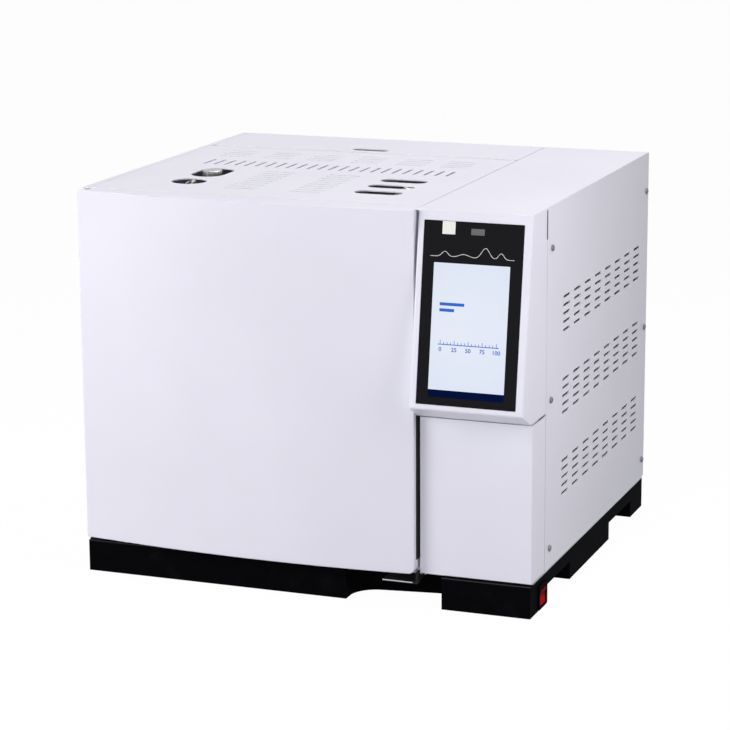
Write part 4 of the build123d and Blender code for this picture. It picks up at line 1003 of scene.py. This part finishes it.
# ---------------------------------------------------------------- finishes by slot
class Paintbox:
    """Every finish of the instrument, made once."""

    def __init__(self) -> None:
        """Makes the materials."""
        finishes = (
            PowderCoat("lavender_white_powder_coat"),
            # plinth paint with a painted highlight line on its upper front edge
            HighlightEdgePaint("satin_black_plinth", (10, 10, 13), (22, 21, 25), gloss_level=0.002),
            Grained("lower_bracket_black", (14, 14, 16), (30, 30, 32), gloss_level=0.1),
            Grained("foot_rubber_matt", (28, 28, 29), (58, 57, 56), 0.78, 0.95, 1400.0, 0.00012, 0.3),
            PlatedSheet("zinc_plated_sheet"),
            BrushedMetal("oven_stainless", heat=0.25),
            BrushedMetal("door_plug_stainless", heat=0.15, along=Axis.Z),
            MineralWool("pressed_mineral_wool"),
            Silicone("pale_silicone"),
            Grained("motor_black_enamel", (34, 34, 37), (70, 70, 74), 0.3, 0.45, 420.0, 0.0002, 0.5, 0.3),
            WoundColumn("amber_column_windings"),
            PanelGlass("black_printed_glass"),
            Grained("module_black_plastic", (22, 22, 25), (48, 48, 52), 0.42, 0.6, 1600.0, 0.00004, 0.4, 0.2),
            CircuitBoard("green_circuit_board"),
            BrushedMetal("machined_aluminium", (206, 208, 212), rough_from=0.26, rough_to=0.4, lines=1800.0),
            Grained("heat_proof_black", (26, 26, 27), (62, 60, 58), 0.7, 0.88, 1100.0, 0.0001, 0.3),
            BrushedMetal("nickel_plate", (168, 166, 168), along=Axis.Z, rough_from=0.22, rough_to=0.36),
            BrushedMetal("bright_brass", (214, 176, 100), rough_from=0.16, rough_to=0.3, lines=1500.0),
            BrushedMetal("bright_screw_steel", (214, 214, 218), rough_from=0.14, rough_to=0.26),
            BrushedMetal("dull_screw_steel", (118, 118, 124), rough_from=0.3, rough_to=0.45),
            BrushedMetal("warm_machined_steel", (206, 200, 184), along=Axis.Z, rough_from=0.34, rough_to=0.5),
            BrushedMetal("heater_sheath", (122, 112, 104), (104, 84, 96), 0.6, Axis.X, 0.4, 0.6),
            PaintedLightRocker("red_rocker_lens"),
            HighlightLipPaint("lever_black_with_worn_lip"),
            LitScreen("lit_screen"),
            Ink("screen_navy_bar", (3, 14, 58), 0.9, 0.01),
            Ink("screen_blue_marks", (34, 98, 205), 0.95),
            Ink("printed_white_line", (226, 226, 230)),
            Ink("printed_rocker_marks", (150, 40, 36), gloss=0.002),
            Paper("blank_sticker_paper"),
            Grained("grey_label_film", (88, 88, 92), (132, 132, 136), 0.4, 0.55, 2200.0, 0.00002, 0.4, 0.3),
        )
        self.made = {finish.name: finish.make() for finish in finishes}

    def __getitem__(self, name: str) -> bpy.types.Material:
        """The material of that name."""
        return self.made[name]


@dataclass
class Dresser:
    """Gives each carried-over solid its finish."""

    paints: Paintbox

    def plan(self) -> Dict[str, Tuple[str, ...]]:
        """Finish to the solids that have it."""
        return {
            "lavender_white_powder_coat": (
                "left_side_panel", "right_cover", "rear_top_cover", "tower_front_panel",
                "display_hood", "top_lid", "door_shell", "rear_panel",
            ),
            "satin_black_plinth": ("base_plinth", "rocker_bezel"),
            "lever_black_with_worn_lip": ("door_lever",),
            "foot_rubber_matt": ("rubber_feet",),
            "pressed_mineral_wool": ("oven_insulation", "door_insulation"),
            "pale_silicone": ("door_gasket",),
            "motor_black_enamel": ("oven_fan_motor", "flap_motor"),
            "lower_bracket_black": ("lower_hinge_bracket",),
            "amber_column_windings": ("capillary_column",),
            "black_printed_glass": ("control_glass",),
            "module_black_plastic": (
                "display_module", "power_inlet", "cooling_fan_frame", "cooling_fan_rotor",
                "signal_ports", "power_supply",
            ),
            "green_circuit_board": ("control_board", "main_board"),
            "machined_aluminium": ("injector_heater_block", "gas_control_module"),
            "heat_proof_black": ("tcd_block",),
            "nickel_plate": ("septum_nut",),
            "bright_brass": ("gas_connectors",),
            "dull_screw_steel": ("case_screws",),
            "warm_machined_steel": ("fid_body", "carrier_gas_line"),
            "heater_sheath": ("oven_heater",),
            "red_rocker_lens": ("power_rocker",),
            "door_plug_stainless": ("door_inner_panel",),
            "oven_stainless": (
                "oven_liner", "fan_baffle", "oven_fan", "oven_fan_shaft", "column_hanger",
                "temperature_probe", "vent_flap", "injector_body", "exhaust_duct",
            ),
        }

    def dress(self, nodes: Dict[str, bpy.types.Object]) -> None:
        """Assigns the finishes; what the plan doesn't name is plated sheet.

        Args:
            nodes: Carried-over solids by name.
        """
        finish_of = {node: finish for finish, named in self.plan().items() for node in named}
        for name, obj in nodes.items():
            material = self.paints[finish_of.get(name, "zinc_plated_sheet")]
            if not obj.material_slots:
                obj.data.materials.append(material)
            for place in obj.material_slots:
                place.material = material
            log.info("solid %s in %s", name, material.name)


# ---------------------------------------------------------------- sub-assemblies
@dataclass
class ScreenFace:
    """What the tilted glass shows: lit picture, printed line and blank stickers."""

    paints: Paintbox
    hood_left: float = 151.0
    hood_top_y: float = -250.243
    hood_top_z: float = 482.5
    slope_rise: float = 227.7
    slope_run: float = 33.8
    glass_depth: float = 0.2
    film: float = 0.12
    picture: Tuple[float, float, float, float] = (22.3, 58.3, 92.0, 147.2)
    bar: Tuple[float, float, float, float] = (22.3, 205.6, 92.0, 8.6)
    sticker: Tuple[float, float, float, float] = (30.6, 10.2, 15.6, 15.0)
    label: Tuple[float, float, float, float] = (65.5, 17.4, 16.2, 7.3)
    line_level: float = 51.0
    line_ends: Pair = (17.5, 119.0)
    line_humps: Tuple[Triple, ...] = (
        (35.0, 6.0, 5.0), (58.0, 3.5, 8.0), (84.0, 12.0, 6.5), (103.0, 7.0, 4.5)
    )
    line_radius: float = 0.34
    line_steps: int = 150
    sink: float = -0.02
    scale_row: float = 152.0
    scale_step: float = 17.0
    scale_start: float = 34.5
    scale_ticks: int = 16
    tick_long: float = 4.4
    tick_short: float = 2.4
    tick_width: float = 0.7
    ink_height: float = 0.08

    def slope(self) -> Matrix:
        """Frame on the glass: X across, Y up the slope, Z out, in metres from its top left."""
        length = math.hypot(self.slope_rise, self.slope_run)
        s, c = self.slope_run / length, self.slope_rise / length
        start = Vector((self.hood_left, self.hood_top_y, self.hood_top_z)) * MM
        start -= Vector((0, -c, s)) * self.glass_depth * MM
        return Matrix((
            (1, 0, 0, start.x), (0, s, -c, start.y), (0, c, s, start.z), (0, 0, 0, 1)
        ))

    def film_piece(self, name: str, place: Tuple[float, float, float, float], low: float, high: float,
                   corner: float) -> Work:
        """Thin film with rounded corners and edges, lying on the glass.

        Args:
            name: Name of the piece.
            place: Across, down, width and length, in millimetres.
            low: Its underside above the glass.
            high: Its face above the glass.
            corner: Radius of its corners.

        Returns:
            The mesh on the bench.
        """
        across, down, width, length = (v * MM for v in place)
        piece = Work.slab(name, (across, -down - length, low * MM), (across + width, -down, high * MM))
        piece.focus()
        rounding = piece.obj.modifiers.new("corner", "BEVEL")
        rounding.width = corner * MM
        rounding.segments = 4
        rounding.limit_method = "WEIGHT"
        weights = piece.obj.data.attributes.new("bevel_weight_edge", "FLOAT", "EDGE")
        for edge in piece.obj.data.edges:
            ends = [piece.obj.data.vertices[v].co for v in edge.vertices]
            weights.data[edge.index].value = 1.0 if abs(ends[0].z - ends[1].z) > 1e-7 else 0.0
        bpy.ops.object.modifier_apply(modifier=rounding.name)
        return piece.bevel((high - low) * 0.3 * MM, 1, 60.0)

    def trace(self) -> Work:
        """Printed line with a few rounded humps above the picture."""
        first, last = self.line_ends
        points = []
        for index in range(self.line_steps + 1):
            across = first + (last - first) * index / self.line_steps
            rise = sum(
                height * math.exp(-((across - centre) / width) ** 2)
                for centre, height, width in self.line_humps
            )
            points.append((across * MM, -(self.line_level - rise) * MM, self.film * MM))
        return Work.line("printed_trace", points, self.line_radius * MM)

    def scale_marks(self) -> Work:
        """Blue axis on the screen, with ticks, two bars and plain numbers."""
        low, high = self.film, self.film + self.ink_height
        level = self.scale_row
        start, step = self.scale_start, self.scale_step
        parts = [self.film_piece("screen_scale", (start - 3, level, 4 * step + 6, 1.0), low, high, 0.2)]
        for index in range(self.scale_ticks + 1):
            tick = self.tick_short if index % 4 else self.tick_long
            across = start + index * step / 4 - self.tick_width / 2
            place = (across, level - tick, self.tick_width, tick)
            parts.append(self.film_piece("tick", place, low, high, 0.1))
        for across, down, width in ((start - 3, 104.0, 30.0), (start - 3, 111.0, 18.0)):
            parts.append(self.film_piece("bar", (across, down, width, 3.6), low, high, 0.6))
        for index in range(5):
            number = Work.digits("number", str(index * 25), 6.8 * MM, self.ink_height * MM)
            number.lay(Matrix.Translation((
                (start + index * step) * MM, -(level + 6.4) * MM, (low + high) / 2 * MM
            )))
            parts.append(number)
        return parts[0].join(parts[1:])

    def build(self) -> None:
        """Makes, lays and dresses the pieces of the glass."""
        slope = self.slope()
        film, sink = self.film_piece, self.sink
        pieces = (
            (film("screen_picture", self.picture, sink, self.film, 0.6), Slot.GLASS, "lit_screen"),
            (film("screen_status_bar", self.bar, sink, self.film, 0.4), Slot.GLASS, "screen_navy_bar"),
            (self.scale_marks(), Slot.GLASS, "screen_blue_marks"),
            (self.trace(), Slot.CASE, "printed_white_line"),
            (film("blank_sticker", self.sticker, sink, 0.16, 0.5), Slot.CASE, "blank_sticker_paper"),
            (film("blank_label", self.label, sink, 0.18, 0.4), Slot.MODULE, "grey_label_film"),
        )
        for piece, slot, paint in pieces:
            piece.lay(slope).smooth(30.0).fit(Body.CASE, slot, self.paints[paint])


@dataclass
class SwitchMarks:
    """Moulded line and ring on the mains rocker."""

    paints: Paintbox
    ring_radius: float = 1.6
    wire: float = 0.22
    bar_height: float = 4.0
    lean_angle: float = 7.0
    edge_reach: float = 7.5
    dish_reach: float = 5.5
    dish_depth: float = 2.0
    half_height: float = 10.0
    pivot_z: float = 16.5
    ring_points: int = 32

    def build(self) -> None:
        """Line mark on the lower half of the rocker's face and ring on the upper half."""
        low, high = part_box("power_rocker")
        middle = (low + high) / 2
        # the rocker leans at rest; its face runs from the dish to the two edges
        lean = math.radians(self.lean_angle)
        back = self.edge_reach * MM * math.cos(lean) + self.half_height * MM * math.sin(lean)
        pivot = Vector((high.x - back, middle.y, self.pivot_z * MM))
        turn = Matrix.Translation(pivot) @ Matrix.Rotation(lean, 4, "Y")
        dish = math.atan2(self.dish_depth, self.half_height)
        out = (self.dish_reach + self.dish_depth / 2) * MM
        for name, up in (("rocker_mark_line", -1), ("rocker_mark_ring", 1)):
            spot = Matrix.Translation((out, 0, up * self.half_height * MM / 2))
            spot = spot @ Matrix.Rotation(up * dish, 4, "Y")
            if up < 0:
                half_bar = self.bar_height * MM / 2
                mark = Work.line(name, [(0, 0, -half_bar), (0, 0, 0), (0, 0, half_bar)], self.wire * MM)
            else:
                ring = self.ring_radius * MM
                mark = Work.line(name, [
                    (0, ring * math.cos(math.tau * i / self.ring_points),
                     ring * math.sin(math.tau * i / self.ring_points))
                    for i in range(self.ring_points + 1)
                ], self.wire * MM)
            mark.lay(turn @ spot).smooth(60.0)
            mark.fit(Body.ROCKER, Slot.ROCKER, self.paints["printed_rocker_marks"])


@dataclass
class OvenFittings:
    """Small turned parts inside the oven and on the door's plug."""

    paints: Paintbox
    nut_radius: float = 3.6
    nut_height: float = 6.0
    nut_corner_share: float = 1.6
    nut_seat_share: float = 0.2
    baffle_screw_radius: float = 4.0
    baffle_screw_rise: float = 0.9
    baffle_reach: Pair = (100.0, 60.0)
    rivet_radius: float = 2.4
    rivet_inset: float = 9.0
    rivet_seat: float = 0.2
    plug_step: float = 20.0
    side_shares: Tuple[float, ...] = (0.1, 0.37, 0.63, 0.9)
    row_shares: Tuple[float, ...] = (0.12, 0.38, 0.64, 0.9)

    def column_nuts(self) -> None:
        """Hex nuts that hold the column's two ends in the inlet and the detector."""
        for name, node in (("column_nut_inlet", "injector_body"), ("column_nut_detector", "fid_body")):
            low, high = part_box(node)
            centre_x = (low.x + high.x) / 2
            centre_y = (low.y + high.y) / 2
            nut = Work.turned(
                name, (centre_x, centre_y, low.z + self.nut_height * MM * self.nut_seat_share),
                self.nut_radius * MM * self.nut_corner_share, self.nut_height * MM, 6,
            )
            nut.pick(lambda face: face.normal.z < -0.9).inset(0.0012, 0.0)
            nut.push((0, 0, -0.0016)).done()
            nut.bevel(0.0004, 2).smooth(30.0)
            nut.fit(Body.CASE, Slot.STEEL, self.paints["bright_screw_steel"])

    def spread(self, first: Work, stem: str, spots: Sequence[Triple], body: Body) -> None:
        """Copies a head to the other spots and dresses them all.

        Args:
            first: The head at the first spot.
            stem: Name that the copies' numbers follow.
            spots: Middles of the heads.
            body: The body that carries them.
        """
        made = [first]
        for index, spot in enumerate(spots[1:], 1):
            made.append(first.again(f"{stem}_{index}", tuple(a - b for a, b in zip(spot, spots[0]))))
        for head in made:
            head.fit(body, Slot.STEEL, self.paints["bright_screw_steel"])

    def baffle_screws(self) -> None:
        """Slotted pan heads on the four posts of the fan baffle."""
        low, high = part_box("fan_baffle")
        centre = (low + high) / 2
        across, up = (v * MM for v in self.baffle_reach)
        spots = [
            (centre.x + sx * across, low.y - self.baffle_screw_rise * MM, centre.z + sz * up)
            for sx, sz in ((-1, -1), (1, -1), (-1, 1), (1, 1))
        ]
        self.spread(self.pan_head("baffle_screw_0", spots[0]), "baffle_screw", spots, Body.CASE)

    def pan_head(self, name: str, spot: Triple) -> Work:
        """Pan head facing the front, with a turned-in drive recess.

        Args:
            name: Name of the piece.
            spot: Middle of the head.

        Returns:
            The mesh on the bench.
        """
        head = Work.turned(name, spot, self.baffle_screw_radius * MM, 0.002, 24, Axis.Y)
        head.pick(lambda face: face.normal.y < -0.9).inset(0.0022, 0.0)
        head.inset(0.0003, -0.0009).done()
        return head.bevel(0.0005, 3, 50.0).smooth(40.0)

    def rivets(self) -> None:
        """Domed rivets round the plug on the inside of the door."""
        low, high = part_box("door_inner_panel")
        back = high.y - self.plug_step * MM
        inset = self.rivet_inset * MM
        seat = self.rivet_seat * MM
        spots: List[Triple] = []
        for share in self.side_shares:
            z = low.z + (high.z - low.z) * share
            spots.append((high.x - inset, back + seat, z))
        for share in self.row_shares:
            x = low.x + (high.x - low.x) * share
            spots.append((x, back + seat, high.z - inset))
            spots.append((x, back + seat, low.z + inset))
        self.spread(self.rivet("door_rivet_0", spots[0]), "door_rivet", spots, Body.DOOR)

    def rivet(self, name: str, spot: Triple) -> Work:
        """Domed rivet head facing the oven.

        Args:
            name: Name of the piece.
            spot: Middle of its foot.

        Returns:
            The mesh on the bench.
        """
        head = Work.turned(name, spot, self.rivet_radius * MM, 0.0006, 20, Axis.Y)
        head.pick(lambda face: face.normal.y > 0.9).inset(0.0007, 0.0003)
        head.inset(0.0007, 0.0002).inset(0.0004, 0.0001).done()
        return head.smooth(60.0)

    def build(self) -> None:
        """Makes the oven's small parts."""
        self.column_nuts()
        self.baffle_screws()
        self.rivets()


@dataclass
class LidBayFittings:
    """Cap of the flame detector and the purge line, seen through the lid's ports."""

    paints: Paintbox
    cap_radius: float = 12.6
    cap_top: float = 482.1
    cap_height: float = 4.6
    line_radius: float = 2.7
    line_left: float = 21.0
    line_y: Pair = (128.0, 150.0)
    line_z: Pair = (405.7, 474.0)
    line_turn: float = 14.0

    def detector_cap(self) -> None:
        """Shouldered cap with a round vent on top of the flame detector."""
        low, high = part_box("fid_body")
        middle = (low + high) / 2
        cap = Work.turned(
            "detector_cap", (middle.x, middle.y, (self.cap_top - self.cap_height / 2) * MM),
            self.cap_radius * MM, self.cap_height * MM, 48,
        )
        cap.pick(lambda face: face.normal.z > 0.9).inset(0.0042, 0.0)
        cap.inset(0.0006, -0.0012).inset(0.0034, 0.0)
        cap.inset(0.0004, -0.0016).done()
        cap.bevel(0.0005, 2).smooth(35.0)
        cap.fit(Body.CASE, Slot.STEEL, self.paints["warm_machined_steel"])

    def purge_line(self) -> None:
        """Bright tube that rises from the deck and turns back to the inlet."""
        low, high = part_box("septum_nut")
        x = (low.x + high.x) / 2 - self.line_left * MM
        near, far = ((y - ORIGIN_Y) * MM for y in self.line_y)
        foot, top = (z * MM for z in self.line_z)
        turn = self.line_turn * MM
        tube = Work.line("purge_line", [
            (x, near, foot), (x, near, top - 2 * turn), (x, near, top), (x, near + turn, top), (x, far, top)
        ], self.line_radius * MM, smooth=True)
        tube.smooth(50.0).fit(Body.CASE, Slot.STEEL, self.paints["bright_screw_steel"])

    def build(self) -> None:
        """Makes both pieces."""
        self.detector_cap()
        self.purge_line()


@dataclass
class SeamShadeStrips:
    """Black strips of painted shade in the seams beside the tower."""

    paints: Paintbox
    door_side: Pair = (-1.0, 12.0)
    door_seal_top: float = 238.0
    door_seal_foot: float = 0.016
    hood_rear: Pair = (53.6, 57.3)
    hood_seal_foot: float = 447.0
    hood_seal_top: float = 481.5
    hood_seal_x: Pair = (288.8, 290.1)

    def build(self) -> None:
        """One painted-shade strip on the door's right end, one behind the hood's rear edge."""
        door_low, door_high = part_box("door_shell")
        reach = [(y - ORIGIN_Y) * MM for y in self.door_side]
        # painted shade: black strip on the door's right end where the gap to the tower falls into shade
        door_shade_strip = Work.slab(
            "door_edge_seal", (door_high.x - 0.0001, reach[0], door_low.z + self.door_seal_foot),
            (door_high.x + 0.0007, reach[1], self.door_seal_top * MM),
        )
        door_shade_strip.bevel(0.0001, 1).smooth(30.0)
        door_shade_strip.fit(Body.DOOR, Slot.RUBBER, self.paints["foot_rubber_matt"])
        reach = [(y - ORIGIN_Y) * MM for y in self.hood_rear]
        inner, outer = (x * MM for x in self.hood_seal_x)
        # painted shade: black strip in the seam behind the hood's rear edge
        strip = Work.slab(
            "hood_seam_seal", (inner, reach[0], self.hood_seal_foot * MM),
            (outer, reach[1], self.hood_seal_top * MM),
        )
        strip.bevel(0.0001, 1).smooth(30.0)
        strip.fit(Body.CASE, Slot.RUBBER, self.paints["foot_rubber_matt"])


@dataclass
class RearFittings:
    """Bare rating plate and earth terminal on the rear panel."""

    paints: Paintbox
    plate: Tuple[float, float, float, float] = (-250.0, 70.0, 90.0, 56.0)
    plate_rise: float = 0.8
    rear_y: float = 515.0 - ORIGIN_Y
    stud: Pair = (196.0, 96.0)
    washer_radius: float = 5.5
    washer_height: float = 1.0
    nut_radius: float = 4.0
    nut_height: float = 1.2
    nut_rise: float = 1.4

    def build(self) -> None:
        """Makes the plate, and the washer and nut of the earth terminal."""
        x, z, width, height = (v * MM for v in self.plate)
        back = self.rear_y * MM
        plate = Work.slab(
            "blank_plate", (x, back - 0.0001, z), (x + width, back + self.plate_rise * MM, z + height)
        )
        plate.pick(lambda face: face.normal.y > 0.9).inset(0.0025, 0.0)
        plate.inset(0.0003, -0.0002).done()
        plate.bevel(0.0003, 2).smooth(30.0)
        plate.fit(Body.CASE, Slot.ALUMINIUM, self.paints["machined_aluminium"])
        sx, sz = (v * MM for v in self.stud)
        washer_height, nut_height = self.washer_height * MM, self.nut_height * MM
        washer = Work.turned(
            "earth_terminal", (sx, back + washer_height / 2, sz), self.washer_radius * MM,
            washer_height, 32, Axis.Y,
        )
        nut = Work.turned(
            "nut", (sx, back + self.nut_rise * MM, sz), self.nut_radius * MM, nut_height, 6, Axis.Y
        )
        nut.pick(lambda face: face.normal.y > 0.9).inset(0.0012, 0.0)
        nut.push((0, 0.0002, 0)).done()
        washer.join([nut]).bevel(0.0002, 2).smooth(30.0)
        washer.fit(Body.CASE, Slot.BRASS, self.paints["bright_brass"])


@dataclass
class Studio:
    """Plain pale floor, soft lamps and the camera."""

    lens: float = 129.04
    camera_place: Triple = (1.1495, -3.059743, 0.9952)
    yaw: float = 20.767
    pitch: float = 13.133
    roll: float = -0.3333
    floor_half: float = 14.0
    floor_glow: float = 0.95
    floor_strength: float = 1.03
    floor_dark: Triple = (182, 182, 184)
    floor_light: Triple = (188, 188, 190)
    ambient: float = 0.02
    cool: Triple = (0.965, 0.96, 1.0)

    def camera(self) -> None:
        """Camera on the front right, a little above the instrument."""
        yaw, pitch, roll = (math.radians(a) for a in (self.yaw, self.pitch, self.roll))
        right = Vector((math.cos(yaw), math.sin(yaw), 0))
        back = Vector((math.sin(yaw) * math.cos(pitch), -math.cos(yaw) * math.cos(pitch), math.sin(pitch)))
        up = right.cross(-back)
        across = right * math.cos(roll) + up * math.sin(roll)
        above = up * math.cos(roll) - right * math.sin(roll)
        data = bpy.data.cameras.new("camera")
        data.lens = self.lens
        data.sensor_width = 36.0
        data.clip_end = 100.0
        obj = linked("camera", data)
        obj.matrix_world = Matrix((
            (across.x, above.x, back.x, self.camera_place[0]),
            (across.y, above.y, back.y, self.camera_place[1]),
            (across.z, above.z, back.z, self.camera_place[2]),
            (0, 0, 0, 1),
        ))
        bpy.context.scene.camera = obj

    def floor(self) -> None:
        """Wide white floor that keeps the instrument's shadow."""
        Work.clear()
        bpy.ops.mesh.primitive_plane_add(size=2 * self.floor_half, location=(0, 0, 0))
        ground = Work("studio_floor").settle()
        sheet = NodeSheet("studio_floor_white")
        place = sheet.place()
        mottle = sheet.noise(place, 3.0, 2.0)
        colour = sheet.blend(mottle, tint(*self.floor_dark), tint(*self.floor_light))
        paint = sheet.add("ShaderNodeBsdfDiffuse", None, {"Color": colour})[0]
        glow = sheet.add(
            "ShaderNodeEmission", None, {"Color": (1, 1, 1, 1), "Strength": self.floor_strength}
        )[0]
        both = sheet.add(
            "ShaderNodeMixShader", None, {0: sheet.looked_at() * self.floor_glow, 1: paint, 2: glow}
        )[0]
        sheet.add("ShaderNodeOutputMaterial", None, {"Surface": both})
        ground.obj.data.materials.append(sheet.material)

    def world(self) -> None:
        """White for the eye and for reflections, soft grey as light."""
        sheet = NodeSheet("studio_air", air=True)
        bpy.context.scene.world = sheet.material
        soft = sheet.add(
            "ShaderNodeBackground", None, {"Color": tint(244, 244, 250), "Strength": self.ambient}
        )[0]
        white = sheet.add("ShaderNodeBackground", None, {"Color": (1, 1, 1, 1), "Strength": 1.0})[0]
        both = sheet.add("ShaderNodeMixShader", None, {0: sheet.looked_at(), 1: soft, 2: white})[0]
        sheet.add("ShaderNodeOutputWorld", None, {"Surface": both})

    def lamp(self, name: str, place: Triple, aim: Triple, width: float, height: float, power: float,
             colour: Triple = (1.0, 1.0, 1.0)) -> None:
        """Rectangular soft box.

        Args:
            name: Name of the lamp.
            place: Where it hangs.
            aim: The point that it faces.
            width: Its width.
            height: Its height.
            power: Its power in watts.
            colour: Its light's colour.
        """
        data = bpy.data.lights.new(name, "AREA")
        data.shape = "RECTANGLE"
        data.size = width
        data.size_y = height
        data.energy = power
        data.color = colour
        obj = linked(name, data)
        direction = Vector(aim) - Vector(place)
        obj.matrix_world = Matrix.Translation(place) @ direction.to_track_quat("-Z", "Y").to_matrix().to_4x4()

    def build(self) -> None:
        """Sets the camera, floor, air and lamps, and the plain view transform."""
        self.camera()
        self.floor()
        self.world()
        self.lamp("key_soft_box", (-1.6, -1.6, 1.0), (-0.15, -0.2, 0.25), 1.1, 1.3, 34.5)
        self.lamp("front_soft_box", (0.5, -3.1, 1.0), (0.1, -0.2, 0.2), 1.6, 1.2, 24.0)
        self.lamp("side_soft_box", (0.9, -0.45, 0.6), (0.29, -0.22, 0.3), 0.4, 0.6, 3.3, self.cool)
        self.lamp("top_soft_box", (0.0, 0.0, 2.2), (0.0, 0.0, 0.4), 1.8, 1.6, 11.9, self.cool)
        self.lamp("rear_top_soft_box", (0.6, 0.5, 2.0), (0.1, 0.1, 0.4), 1.2, 1.2, 13.2, self.cool)
        bpy.context.scene.view_settings.view_transform = "Standard"


def main() -> None:
    """Dresses the instrument, adds its small pieces and sets the studio."""
    logging.basicConfig(level=logging.INFO, format="%(name)s: %(message)s")
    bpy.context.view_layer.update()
    paints = Paintbox()
    Dresser(paints).dress(frame["nodes"])
    assemblies = (
        ScreenFace(paints), SwitchMarks(paints), OvenFittings(paints), LidBayFittings(paints),
        SeamShadeStrips(paints), RearFittings(paints),
    )
    for assembly in assemblies:
        log.info("assembly %s", type(assembly).__name__)
        assembly.build()
    Studio().build()
    Work.clear()


if __name__ == "__main__":
    main()
